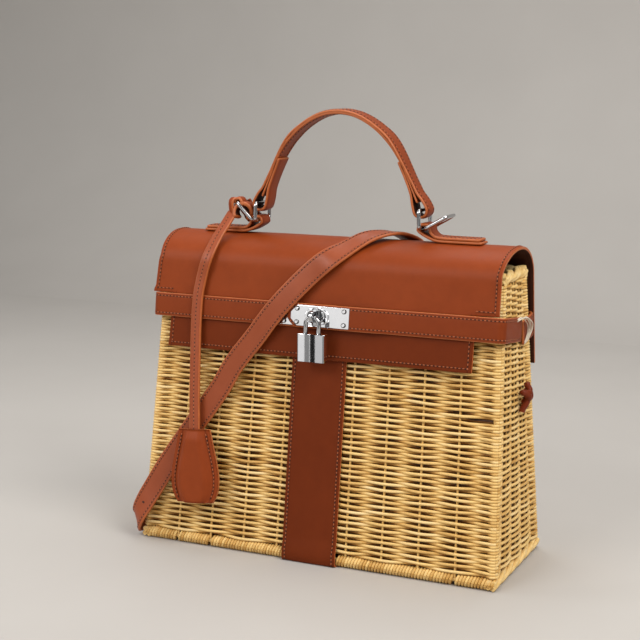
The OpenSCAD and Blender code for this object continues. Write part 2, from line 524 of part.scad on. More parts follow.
strap_n = concat([[0, 0, 1], [0, 0, 1], [0, 0.1, 1], [0, 0.25, 0.97], [0, 0.6, 0.8], [0, 0.9, 0.43], bn, bn, bn, bn, [0, 0.96, 0.28], [0, 0.9, 0.43]],
    [[0, 0.78, 0.62], [0, 0.39, 0.92], [0, 0.12, 0.99], [0, -0.15, 0.99], [0, -0.42, 0.91], [0, -0.63, 0.78]],
    [[0, -0.93, 0.36], fn, fn, fn, fn, fn, fn, fn, fn, fn, fn, [-0.15, -0.98, 0.1]],
    [[-0.55, -0.83, 0], [-0.92, -0.38, 0], ln, ln, ln]);
module shoulder_strap() { color(tan_leather) ribbon(strap_p, strap_n, strap_w, strap_t); }

module left_knot() { mirror([1, 0, 0]) right_knot(); }
module right_knot() {
    z = basket_h * 0.585;
    x = base_w / 2 - kx * z + bulge / 2;
    color(tan_leather) translate([x, 8, z]) {
        translate([4.8, 0, 0]) sphere(r = 4.8);
        for (q = [155, -35]) translate([3.4, 0, 0]) rotate([q, 0, 0]) cylinder(d = 3.2, h = 11);
    }
}

front_weave();
back_weave();
left_weave();
right_weave();
front_left_post();
front_right_post();
back_left_post();
back_right_post();
woven_floor();
foot_border();
top_rim();
flap();
front_band();
left_belt();
right_belt();
back_belt();
left_tie();
right_tie();
left_plate();
right_plate();
plate_rivets();
lock_post();
turn_knob();
shackle();
padlock_body();
handle();
left_handle_ring();
right_handle_ring();
left_strap_ring();
right_strap_ring();
left_tab();
right_tab();
lace_knot();
bell_lace();
key_bell();
shoulder_strap();
left_knot();
right_knot();
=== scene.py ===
import bmesh
import bpy
import math
import numpy as np
from mathutils import Matrix, Vector, noise


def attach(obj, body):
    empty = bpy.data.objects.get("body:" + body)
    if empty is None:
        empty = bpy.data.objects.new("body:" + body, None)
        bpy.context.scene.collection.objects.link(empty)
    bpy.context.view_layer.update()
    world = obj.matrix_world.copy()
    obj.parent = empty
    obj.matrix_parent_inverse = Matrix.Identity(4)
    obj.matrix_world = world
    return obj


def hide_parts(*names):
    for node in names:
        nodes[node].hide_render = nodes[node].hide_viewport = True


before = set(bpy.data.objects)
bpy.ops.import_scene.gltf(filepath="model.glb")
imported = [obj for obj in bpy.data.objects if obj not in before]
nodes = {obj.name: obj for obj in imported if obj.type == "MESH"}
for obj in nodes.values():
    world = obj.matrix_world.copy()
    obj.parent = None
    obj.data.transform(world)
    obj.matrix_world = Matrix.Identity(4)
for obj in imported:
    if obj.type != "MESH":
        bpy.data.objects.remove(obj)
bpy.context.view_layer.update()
bpy.context.scene.view_settings.view_transform = "Standard"
rng = np.random.default_rng(41)

# camera at the viewing angle of the picture
cameraSettings = {
    "place": (0.4117, -0.9356, 0.3496),
    "forward": (-0.4104, 0.8958, -0.1708),
    "right": (0.9091, 0.4165, 0.0),
    "roll": 0.26,
    "lens": 78.07,
}


def makeCamera(s):
    data = bpy.data.cameras.new("camera")
    data.lens = s["lens"]
    data.sensor_width = 36
    data.clip_start = 0.01
    cam = bpy.data.objects.new("camera", data)
    bpy.context.scene.collection.objects.link(cam)
    f = Vector(s["forward"]).normalized()
    r = Vector(s["right"]).normalized()
    u = r.cross(f)
    c, k = math.cos(math.radians(s["roll"])), math.sin(math.radians(s["roll"]))
    r2, u2 = c * r + k * u, -k * r + c * u
    m = Matrix((r2, u2, -f)).transposed().to_4x4()
    m.translation = Vector(s["place"])
    cam.matrix_world = m
    bpy.context.scene.camera = cam


makeCamera(cameraSettings)
print("camera set")


# node graphs, for materials and for geometry
class Wire:
    def __init__(self, graph, socket):
        self.graph = graph
        self.socket = socket

    def maths(self, operation, other, swap=False):
        a, b = (other, self) if swap else (self, other)
        return self.graph.add("ShaderNodeMath", {"operation": operation}, {0: a, 1: b})

    def __add__(self, other):
        return self.maths("ADD", other)

    def __sub__(self, other):
        return self.maths("SUBTRACT", other)

    def __rsub__(self, other):
        return self.maths("SUBTRACT", other, True)

    def __mul__(self, other):
        return self.maths("MULTIPLY", other)

    def __rmul__(self, other):
        return self.maths("MULTIPLY", other, True)

    def out(self, name):
        return Wire(self.graph, self.socket.node.outputs[name])


class Graph:
    def __init__(self, tree):
        self.tree = tree

    def add(self, kind, settings=None, sockets=None, out=0):
        node = self.tree.nodes.new(kind)
        for key, value in (settings or {}).items():
            if key == "stops":
                ramp = node.color_ramp
                while len(ramp.elements) < len(value):
                    ramp.elements.new(0.5)
                for element, (at, colour) in zip(ramp.elements, value):
                    element.position = at
                    element.color = (*colour, 1)
            else:
                setattr(node, key, value)
        for key, value in (sockets or {}).items():
            if isinstance(value, Wire):
                self.tree.links.new(value.socket, node.inputs[key])
            else:
                node.inputs[key].default_value = value
        return Wire(self, node.outputs[out]) if len(node.outputs) else node


def newMaterial(name, fixed):
    mat = bpy.data.materials.new(name)
    mat.use_nodes = True
    mat.node_tree.nodes.clear()
    g = Graph(mat.node_tree)
    shader = g.add("ShaderNodeBsdfPrincipled", {}, fixed)
    g.add("ShaderNodeOutputMaterial", {}, {"Surface": shader})
    return mat, g, shader.socket.node


def plug(g, node, name, wire):
    g.tree.links.new(wire.socket, node.inputs[name])


def objectPlace(g):
    return g.add("ShaderNodeTexCoord", {}, {}, "Object")


def cloud(g, place, scale, detail=3.0, rough=0.55):
    return g.add(
        "ShaderNodeTexNoise", {}, {"Vector": place, "Scale": scale, "Detail": detail, "Roughness": rough},
    )


def blend(g, share, low, high, how="MIX"):
    return g.add("ShaderNodeMix", {"data_type": "RGBA", "blend_type": how}, {0: share, 6: low, 7: high}, 2)


# the ramp's darkest stops serve as painted shade on the strands that lie behind
strawLook = {
    "stops": [
        (0.0, (0.052, 0.017, 0.002)), (0.17, (0.235, 0.092, 0.013)), (0.40, (0.57, 0.315, 0.080)),
        (0.66, (0.79, 0.530, 0.195)), (1.0, (0.90, 0.700, 0.370)),
    ],
    "rough": 0.40,
}


def makeStraw(s):
    mat, g, shader = newMaterial(
        "paleCane", {"Coat Roughness": 0.3, "IOR": 1.45, "Specular IOR Level": 0.3},
    )
    place = objectPlace(g)
    # tone holds each strand's random tone and its painted shade
    tone = g.add("ShaderNodeAttribute", {"attribute_name": "tone"}, {}, "Fac")
    patch = cloud(g, place, 38.0, 4.0)
    fibre = cloud(g, place, 620.0, 3.0)
    level = tone * 0.75 + patch * 0.30 + fibre * 0.20 - 0.06
    colour = g.add("ShaderNodeValToRGB", {"stops": s["stops"]}, {0: level})
    plug(g, shader, "Base Color", colour)
    plug(g, shader, "Roughness", fibre * 0.22 + (s["rough"] - 0.08))
    plug(g, shader, "Coat Weight", patch * 0.15)
    bump = g.add("ShaderNodeBump", {}, {"Strength": 0.35, "Distance": 0.0003, "Height": fibre})
    plug(g, shader, "Normal", bump)
    return mat


def makeLeather(name, low, high, rough, grain=0.25, shine=0.14):
    mat, g, shader = newMaterial(name, {"Coat Roughness": 0.35, "IOR": 1.45, "Specular IOR Level": shine})
    place = objectPlace(g)
    patch = cloud(g, place, 16.0, 4.0, 0.6)
    mottle = cloud(g, place, 140.0, 3.0)
    cell = g.add(
        "ShaderNodeTexVoronoi", {"feature": "DISTANCE_TO_EDGE"}, {"Vector": place, "Scale": 1300.0},
    )
    seam = g.add("ShaderNodeAttribute", {"attribute_name": "seam"}, {}, "Fac")
    level = patch * 0.7 + mottle * 0.4 - 0.05
    colour = blend(g, level, (*low, 1), (*high, 1))
    # the seam grooves are darkened towards a shadow colour: painted shade
    shadow = (low[0] * 0.22, low[1] * 0.15, low[2] * 0.15, 1)
    sewn = blend(g, seam * 0.45, colour, shadow)
    plug(g, shader, "Base Color", sewn)
    plug(g, shader, "Roughness", mottle * 0.18 + (rough - 0.09))
    plug(g, shader, "Coat Weight", patch * 0.04)
    height = cell * 0.6 + mottle * 0.4
    bump = g.add("ShaderNodeBump", {}, {"Strength": grain, "Distance": 0.0004, "Height": height})
    plug(g, shader, "Normal", bump)
    return mat


def makePaint(name, low, high, rough):
    mat, g, shader = newMaterial(name, {"IOR": 1.48})
    place = objectPlace(g)
    rub = cloud(g, place, 210.0, 4.0)
    colour = blend(g, rub, (*low, 1), (*high, 1))
    plug(g, shader, "Base Color", colour)
    plug(g, shader, "Roughness", rub * 0.25 + rough)
    bump = g.add("ShaderNodeBump", {}, {"Strength": 0.2, "Distance": 0.0003, "Height": rub})
    plug(g, shader, "Normal", bump)
    return mat


def makeChrome(name, bright, dome=None):
    # a domed face bends its shading across x, about a line, and leans back
    mat, g, shader = newMaterial(name, {"Metallic": 1.0})
    place = objectPlace(g)
    smear = cloud(g, place, 90.0, 5.0, 0.65)
    fine = cloud(g, place, 900.0, 2.0)
    dull = (bright * 0.80, bright * 0.81, bright * 0.84, 1)
    clear = (bright, bright * 1.01, bright * 1.03, 1)
    colour = blend(g, smear, dull, clear)
    plug(g, shader, "Base Color", colour)
    plug(g, shader, "Roughness", smear * 0.07 + fine * 0.03 + 0.02)
    if dome:
        x = g.add("ShaderNodeSeparateXYZ", {}, {0: place}, "X") - dome["line"]
        z = g.add("ShaderNodeSeparateXYZ", {}, {0: place}, "Z")
        height = x * x * -dome["roll"] - z * dome["lean"]
        bump = g.add("ShaderNodeBump", {}, {"Strength": 1.0, "Distance": 1.0, "Height": height})
        plug(g, shader, "Normal", bump)
    return mat


straw = makeStraw(strawLook)
leather = makeLeather("tanLeather", (0.180, 0.030, 0.006), (0.294, 0.053, 0.0105), 0.46)
strapLeather = makeLeather("strapTan", (0.215, 0.041, 0.011), (0.345, 0.073, 0.021), 0.42, 0.25, 0.4)
# a darker copy of the tan leather for the belts: painted shade
shadedBeltLeather = makeLeather("shadedBeltTan", (0.155, 0.025, 0.005), (0.252, 0.045, 0.009), 0.48)
# a darker copy of the tan leather for the tongue and the front band: painted shade
shadedLeather = makeLeather("shadedTan", (0.105, 0.0165, 0.0030), (0.180, 0.030, 0.0052), 0.52, 0.25, 0.10)
# dark leather for the flap's lining, also laid as painted shade inside the handle's fold, the bell's pocket
# and the lace's knot
liningAndShade = makeLeather("darkLiningAndShade", (0.030, 0.008, 0.004), (0.055, 0.016, 0.008), 0.75)
thong = makeLeather("redThong", (0.125, 0.020, 0.007), (0.215, 0.036, 0.012), 0.34, 0.15)
edgePaint = makePaint("edgePaint", (0.32, 0.072, 0.013), (0.49, 0.128, 0.028), 0.36)
sewing = makePaint("sewingThread", (0.30, 0.072, 0.022), (0.46, 0.135, 0.045), 0.5)
# near-black for the needle holes and the punched hole: painted shade
holeShade = makePaint("holeShade", (0.016, 0.004, 0.002), (0.040, 0.010, 0.004), 0.6)
waxed = makePaint("waxedThread", (0.55, 0.47, 0.36), (0.84, 0.77, 0.66), 0.5)
chrome = makeChrome("polishedChrome", 0.92)
# a darker chrome for the rings, post, knob and shackle, standing in for dark reflections: painted
# reflection
darkReflectionChrome = makeChrome("darkReflectionMetal", 0.55)
# a dark ring round each rivet head: painted shade in the joint
jointShade = makePaint("jointShade", (0.020, 0.016, 0.014), (0.060, 0.050, 0.045), 0.4)
lockChrome = makeChrome("domedChrome", 0.92, {"roll": 8.0, "line": -0.014, "lean": 0.10})
print("materials made")

# sizes of the bag in millimetres, as in the source
bag = {
    "baseW": 284.0, "topW": 268.0, "baseD": 108.0, "topD": 53.0, "height": 219.0,
    "border": 9.0, "bulge": 1.0, "proud": 1.2,
    "crown": 16.0, "flapW": 276.0, "flapT": 2.2, "tongueW": 242.0, "tongueZ": 150.0, "earZ": 189.9,
    "beltZ": 171.5, "beltH": 17.5, "beltT": 1.8, "bandW": 43.0, "bandT": 1.6,
    "plateT": 0.8, "seat": 0.2, "play": 0.3,
}
lean = (bag["baseD"] - bag["topD"]) / 2 / bag["height"]
leanX = (bag["baseW"] - bag["topW"]) / 2 / bag["height"]
tilt = math.atan(lean)
topZ = bag["height"] + bag["crown"]
bandO = bag["bulge"] + bag["seat"]
tongueO = bandO + bag["bandT"] + bag["seat"]
beltO = tongueO + bag["flapT"] + bag["seat"]
leftPlateO = beltO + bag["beltT"] + 0.05
rightBeltO = leftPlateO + bag["plateT"] + bag["seat"]
sideX = bag["baseW"] / 2 - leanX * bag["beltZ"] + bag["bulge"] + 0.4


def frontY(z, out=0.0):
    return -(bag["baseD"] / 2 - lean * z) - out / math.cos(tilt)


def onFront(x, y, z):
    # the tilted front: y is inward, z along the wall
    return (
        x,
        -bag["baseD"] / 2 + y * math.cos(tilt) + z * math.sin(tilt),
        -y * math.sin(tilt) + z * math.cos(tilt),
    )


# mesh makers, all taking millimetres
def newPiece(name, verts, faces, mats, faceMats=None, attributes=None):
    mesh = bpy.data.meshes.new(name)
    mesh.from_pydata(
        [tuple(float(c) * 0.001 for c in v) for v in verts], [], [tuple(int(i) for i in f) for f in faces],
    )
    for m in mats:
        mesh.materials.append(m)
    if faceMats is not None:
        mesh.polygons.foreach_set("material_index", np.array(faceMats, np.int32))
    mesh.polygons.foreach_set("use_smooth", np.full(len(mesh.polygons), True))
    for key, values in (attributes or {}).items():
        mesh.attributes.new(key, "FLOAT", "POINT").data.foreach_set("value", np.array(values, np.float32))
    mesh.update()
    obj = bpy.data.objects.new(name, mesh)
    bpy.context.scene.collection.objects.link(obj)
    return obj


def finishPiece(obj, body, replaced=()):
    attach(obj, body)
    if replaced:
        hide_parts(*replaced)
    return obj


def bake(obj):
    # the evaluated result becomes the plain mesh
    graph = bpy.context.evaluated_depsgraph_get()
    mesh = bpy.data.meshes.new_from_object(
        obj.evaluated_get(graph), preserve_all_data_layers=True, depsgraph=graph,
    )
    old = obj.data
    obj.modifiers.clear()
    obj.data = mesh
    mesh.name = obj.name
    bpy.data.meshes.remove(old)
    return obj


def unitRows(v):
    return v / np.maximum(np.linalg.norm(v, axis=1, keepdims=True), 1e-9)


def smoothLine(points, step, extra=None):
    # Catmull-Rom through the points, at even steps along its length
    p = np.array(points, float)
    n = len(p)
    data = p if extra is None else np.hstack([p, np.array(extra, float)])
    ends = np.vstack([2 * data[0] - data[1], data, 2 * data[-1] - data[-2]])
    dense = []
    for i in range(n - 1):
        a, b, c, d = ends[i], ends[i + 1], ends[i + 2], ends[i + 3]
        for t in np.linspace(0, 1, 24, endpoint=False):
            bend = (2 * a - 5 * b + 4 * c - d) * t * t + (3 * b - a - 3 * c + d) * t ** 3
            dense.append(0.5 * (2 * b + (c - a) * t + bend))
    dense.append(data[-1])
    dense = np.array(dense)
    run = np.concatenate([[0], np.cumsum(np.linalg.norm(np.diff(dense[:, :3], axis=0), axis=1))])
    count = max(3, int(round(run[-1] / step)) + 1)
    at = np.linspace(0, run[-1], count)
    out = np.stack([np.interp(at, run, dense[:, k]) for k in range(data.shape[1])], 1)
    return out[:, :3] if extra is None else (out[:, :3], unitRows(out[:, 3:6]))


def frames(points, normals):
    t = unitRows(np.gradient(points, axis=0))
    across = unitRows(np.cross(t, normals))
    return t, across, np.cross(across, t)


# a seam's groove: half its width and its depth in a strap, half its width in a sheet, and the room round it
groove = {"half": 0.7, "deep": 0.14, "sheetHalf": 0.8, "clear": 1.3}
stitchRuns = {}


def stitchRun(body, line):
    stitchRuns.setdefault(body, []).append(np.array(line, float))


def strapSection(w, t, crown, seam, r, back=0):
    # outline of a strap: crowned face, seam grooves, rounded painted edges
    half = w / 2
    shoulder = t / 2 - r * 0.7
    g = groove["half"]
    us = [-half + r]
    if seam:
        us += [-half + seam - g, -half + seam, -half + seam + g]
    us += [-half * 0.5, 0.0, half * 0.5]
    if seam:
        us += [half - seam - g, half - seam, half - seam + g]
    us += [half - r]
    out = []
    for u in us:
        sunk = groove["deep"] if seam and abs(abs(u) - (half - seam)) < 0.01 else 0.0
        face = t / 2 + crown * (1 - (u / half) ** 2)
        out.append((u, face - sunk, 1.0 if sunk else 0.0, 0))
    out[-1] = (*out[-1][:3], 1)
    out += [
        (half, shoulder, 0, 1), (half + 0.06, 0, 0, 1), (half, -shoulder, 0, 1),
        (half - r, -t / 2, 0, back),
    ]
    out += [(0, -t / 2, 0, back), (-half + r, -t / 2, 0, 1)]
    out += [(-half, -shoulder, 0, 1), (-half - 0.06, 0, 0, 1), (-half, shoulder, 0, 1)]
    return out


def strap(
    name, points, normals, width, thick, crown=0.25, seam=2.4, r=0.55, shares=None, mats=None, body="bag",
    sewFrom=4.0, sewTo=4.0, back=0,
):
    p = np.array(points, float)
    n = unitRows(np.array(normals, float))
    t, across, up = frames(p, n)
    section = strapSection(width, thick, crown, seam, r, back)
    count = len(section)
    shares = np.ones(len(p)) if shares is None else np.array(shares, float)
    # a smaller ring closes each end, so that it is rounded
    last = len(p) - 1
    full, closing = (1, 1), (1 - 1.0 / width, 0.55)
    stations = [(0, 0.0, closing), (0, 0.6, full)] + [(i, 0.0, full) for i in range(1, last)]
    stations += [(last, -0.6, full), (last, 0.0, closing)]
    verts, seams = [], []
    for i, shift, (wide, high) in stations:
        for u, v, sunk, m in section:
            verts.append(p[i] + t[i] * shift + across[i] * u * shares[i] * wide + up[i] * v * high)
            seams.append(sunk)
    faces, faceMats = [], []
    for i in range(len(stations) - 1):
        for c in range(count):
            d = (c + 1) % count
            faces.append((i * count + c, i * count + d, (i + 1) * count + d, (i + 1) * count + c))
            faceMats.append(section[c][3] if 0 < i < len(stations) - 2 else 1)
    faces.append(tuple(range(count - 1, -1, -1)))
    faces.append(tuple((len(stations) - 1) * count + c for c in range(count)))
    faceMats += [1, 1]
    obj = newPiece(name, verts, faces, mats or [leather, edgePaint], faceMats, {"seam": seams})
    flipIfInside(obj)
    if seam:
        run = np.concatenate([[0], np.cumsum(np.linalg.norm(np.diff(p, axis=0), axis=1))])
        keep = (run >= sewFrom) & (run <= run[-1] - sewTo)
        for side in (-1, 1):
            u = side * (width / 2 - seam)
            v = thick / 2 + crown * (1 - (u / (width / 2)) ** 2) - 0.02
            stitchRun(body, (p + across * u * shares[:, None] + up * v)[keep])
    return obj


def flipIfInside(obj):
    mesh = obj.data
    total = 0.0
    for poly in mesh.polygons:
        a = mesh.vertices[poly.vertices[0]].co
        for i in range(1, len(poly.vertices) - 1):
            total += a.dot(mesh.vertices[poly.vertices[i]].co.cross(mesh.vertices[poly.vertices[i + 1]].co))
    if total < 0:
        mesh.flip_normals()


sheetMats = [leather, shadedLeather, edgePaint, edgePaint, liningAndShade, liningAndShade]
sheetRim = {"width": 0.45, "segments": 2, "angle": 50}


def sheetPiece(name, xs, line, keepCell, thick, seamAt=None, wobble=0.0, shift=None, deep=None):
    # a sheet that follows a line in y and z, cut to an outline in x
    # it then gets its thickness and its rounded rim
    line = np.array(line, float)
    verts, seams = [], []
    d = unitRows(np.gradient(line, axis=0))
    for j, (y, z) in enumerate(line):
        for x in xs:
            w = wobble * noise.noise((x * 0.02, z * 0.03, y * 0.03)) if wobble else 0.0
            verts.append((x + (shift(x, j) if shift else 0.0), y - d[j][1] * w, z + d[j][0] * w))
            seams.append(seamAt(x, j) if seamAt else 0.0)
    faces, tones = [], []
    for j in range(len(line) - 1):
        for i in range(len(xs) - 1):
            if keepCell((xs[i] + xs[i + 1]) / 2, j):
                a = j * len(xs) + i
                faces.append((a, a + 1, a + 1 + len(xs), a + len(xs)))
                # cells in the rows that deep picks take the darker leather copy: painted shade
                tones.append(1 if deep and deep(j) else 0)
    used = sorted({i for f in faces for i in f})
    index = {v: k for k, v in enumerate(used)}
    obj = newPiece(
        name, [verts[i] for i in used], [[index[i] for i in f] for f in faces], sheetMats, tones,
        {"seam": [seams[i] for i in used]},
    )
    solid = obj.modifiers.new("thickness", "SOLIDIFY")
    solid.thickness = thick * 0.001
    solid.offset = -1
    solid.use_even_offset = True
    solid.material_offset = 4
    solid.material_offset_rim = 2
    rim = obj.modifiers.new("rim", "BEVEL")
    rim.width = sheetRim["width"] * 0.001
    rim.segments = sheetRim["segments"]
    rim.limit_method = "ANGLE"
    rim.angle_limit = math.radians(sheetRim["angle"])
    return bake(obj)


# geometry trees: one sweeps strands along lines, one lays stitches along seams with dark beads between
# them, painted shade in the needle holes
def treeWith(name, inputs):
    tree = bpy.data.node_groups.new(name, "GeometryNodeTree")
    tree.interface.new_socket("Geometry", in_out="INPUT", socket_type="NodeSocketGeometry")
    ids = {}
    for label, kind, value in inputs:
        item = tree.interface.new_socket(label, in_out="INPUT", socket_type=kind)
        if value is not None:
            item.default_value = value
        ids[label] = item.identifier
    tree.interface.new_socket("Geometry", in_out="OUTPUT", socket_type="NodeSocketGeometry")
    g = Graph(tree)
    start = g.add("NodeGroupInput")
    return tree, g, start, ids


def strandTree():
    tree, g, start, ids = treeWith(
        "strands",
        [
            ("Radius", "NodeSocketFloat", 0.001), ("Sides", "NodeSocketInt", 6),
            ("Finish", "NodeSocketMaterial", None),
        ],
    )
    curve = g.add("GeometryNodeMeshToCurve", {}, {0: start})
    ring = g.add(
        "GeometryNodeCurvePrimitiveCircle", {},
        {"Resolution": start.out("Sides"), "Radius": start.out("Radius")},
    )
    tube = g.add("GeometryNodeCurveToMesh", {}, {"Curve": curve, "Profile Curve": ring, "Fill Caps": True})
    soft = g.add("GeometryNodeSetShadeSmooth", {}, {0: tube})
    whole = g.add("GeometryNodeRealizeInstances", {}, {0: soft})
    done = g.add("GeometryNodeSetMaterial", {}, {"Geometry": whole, "Material": start.out("Finish")})
    g.add("NodeGroupOutput", {}, {0: done})
    return tree, ids


def stitchTree():
    sizes = [("Spacing", 0.0029), ("Length", 0.0018), ("Hole", 0.0012), ("Thickness", 0.0008)]
    inputs = [(label, "NodeSocketFloat", value) for label, value in sizes]
    tree, g, start, ids = treeWith(
        "stitches", inputs + [(label, "NodeSocketMaterial", None) for label in ("Finish", "Dark")],
    )
    curve = g.add("GeometryNodeMeshToCurve", {}, {0: start})
    even = g.add(
        "GeometryNodeResampleCurve", {"mode": "LENGTH"},
        {"Curve": curve, "Length": start.out("Spacing") * 0.5},
    )
    ball = g.add("GeometryNodeMeshUVSphere", {}, {"Segments": 8, "Rings": 5, "Radius": 0.5})
    turn = g.add(
        "FunctionNodeAlignRotationToVector", {"axis": "X"}, {"Vector": g.add("GeometryNodeInputTangent")},
    )
    odd = g.add("GeometryNodeInputIndex").maths("MODULO", 2.0)
    both = None
    for length, finish, chosen in (("Length", "Finish", odd), ("Hole", "Dark", 1.0 - odd)):
        size = g.add(
            "ShaderNodeCombineXYZ", {},
            {0: start.out(length), 1: start.out("Thickness"), 2: start.out("Thickness")},
        )
        laid = g.add(
            "GeometryNodeInstanceOnPoints", {},
            {"Points": even, "Selection": chosen, "Instance": ball, "Rotation": turn, "Scale": size},
        )
        whole = g.add("GeometryNodeRealizeInstances", {}, {0: laid})
        soft = g.add("GeometryNodeSetShadeSmooth", {}, {0: whole})
        done = g.add("GeometryNodeSetMaterial", {}, {"Geometry": soft, "Material": start.out(finish)})
        if both is None:
            both = g.add("GeometryNodeJoinGeometry", {}, {0: done})
        else:
            g.tree.links.new(done.socket, both.socket.node.inputs[0])
    g.add("NodeGroupOutput", {}, {0: both})
    return tree, ids


strands, strandIds = strandTree()
stitches, stitchIds = stitchTree()


def linesMesh(name, lines, tones=None):
    verts, edges, tone = [], [], []
    for k, line in enumerate(lines):
        base = len(verts)
        verts += [tuple(p) for p in line]
        edges += [(base + i, base + i + 1) for i in range(len(line) - 1)]
        tone += list(tones[k]) if tones is not None else [0.5] * len(line)
    mesh = bpy.data.meshes.new(name)
    mesh.from_pydata([tuple(float(c) * 0.001 for c in v) for v in verts], edges, [])
    mesh.attributes.new("tone", "FLOAT", "POINT").data.foreach_set("value", np.array(tone, np.float32))
    obj = bpy.data.objects.new(name, mesh)
    bpy.context.scene.collection.objects.link(obj)
    return obj


def runTree(obj, tree, ids, values):
    mod = obj.modifiers.new("tree", "NODES")
    mod.node_group = tree
    for label, value in values.items():
        mod[ids[label]] = value
    return bake(obj)


def tubes(name, lines, radius, finish, sides=6, tones=None):
    return runTree(
        linesMesh(name, lines, tones), strands, strandIds,
        {"Radius": radius * 0.001, "Sides": sides, "Finish": finish},
    )


# the rings on the top, whose bars the handle, the strap and the lace hold
ringSettings = {
    "wire": 2.8, "x": 65.0, "bar": 10.0, "handleBar": 23.0, "tab": 0.5, "gap": 0.8, "reach": 18.0,
    "slant": 45,
}
ringX = ringSettings["x"]
barZ = topZ + ringSettings["bar"]
handleBarZ = topZ + ringSettings["handleBar"]
tabX = ringX + ringSettings["tab"]
strapBarX = tabX + ringSettings["wire"] + ringSettings["gap"]
knotX = strapBarX + ringSettings["reach"] * math.cos(math.radians(ringSettings["slant"]))
knotZ = barZ + ringSettings["reach"] * math.sin(math.radians(ringSettings["slant"]))

# the lace runs from its knot down the front, and the bell hangs at its end
laceSettings = {"width": 8.5, "thick": 2.2}
faceOut = (0.0, -math.cos(tilt), math.sin(tilt))


def frontPoint(x, z, out):
    return (x, frontY(z, out), z)


def makeLace(s):
    route = [
        (-knotX - 4.6, -7.5, knotZ - 7.2), (-knotX - 6.6, -18, topZ + 5.4), (-knotX - 8.8, -26, topZ - 3.2),
        frontPoint(-93.2, 218, 9.4), frontPoint(-97.2, 204, 8.6), frontPoint(-99.3, 190, 9.0),
        frontPoint(-99.6, 172, 9.4), frontPoint(-98.4, 146, 10.4), frontPoint(-96.4, 115, 11.8),
        frontPoint(-94.6, 94, 12.6), frontPoint(-94.1, 84, 12.8),
    ]
    facing = [(0, -0.5, 0.86), (0, -0.5, 0.86), (0, -0.75, 0.66)] + [faceOut] * 8
    p, n = smoothLine(route, 2.5, facing)
    lace = strap(
        "bell_lace_strap", p, n, s["width"], s["thick"], crown=0.5, seam=0, r=0.7,
        mats=[strapLeather, edgePaint],
    )
    t, across, up = frames(p, n)
    stitchRun("bag", (p + up * (s["thick"] / 2 + 0.48))[3:-3])
    finishPiece(lace, "bag", ["bell_lace"])
    length = float(np.linalg.norm(np.diff(p, axis=0), axis=1).sum())
    print("lace length", round(length, 1))
    return lace, p, length


lace, lacePath, laceLength = makeLace(laceSettings)

# woven walls: strands pass before and behind the stakes in turn, and wrap the corners
weave = {
    "rows": 96, "radius": 1.12, "stake": 0.95, "turn": 3.3, "perBay": 7, "wander": 0.9, "depth": 2.9,
    "sideDepth": 3.9, "inset": 2.2, "shade": 1.35, "slitRow": 51, "slitFrom": 113.0, "slitOpen": 0.35,
    "patch": 0.35, "bays": 10, "sideBays": 4, "post": 2.3,
}


def onWall(quarter, a, b):
    # a runs along the wall, b outward; the quarters are front, right, back and left
    return ((a, -b), (b, a), (-a, b), (-b, -a))[quarter]


def halves(z, long):
    # half the length of a wall and its distance from the middle, at a height
    hx, hy = bag["baseW"] / 2 - leanX * z, bag["baseD"] / 2 - lean * z
    return (hx, hy) if long else (hy, hx)


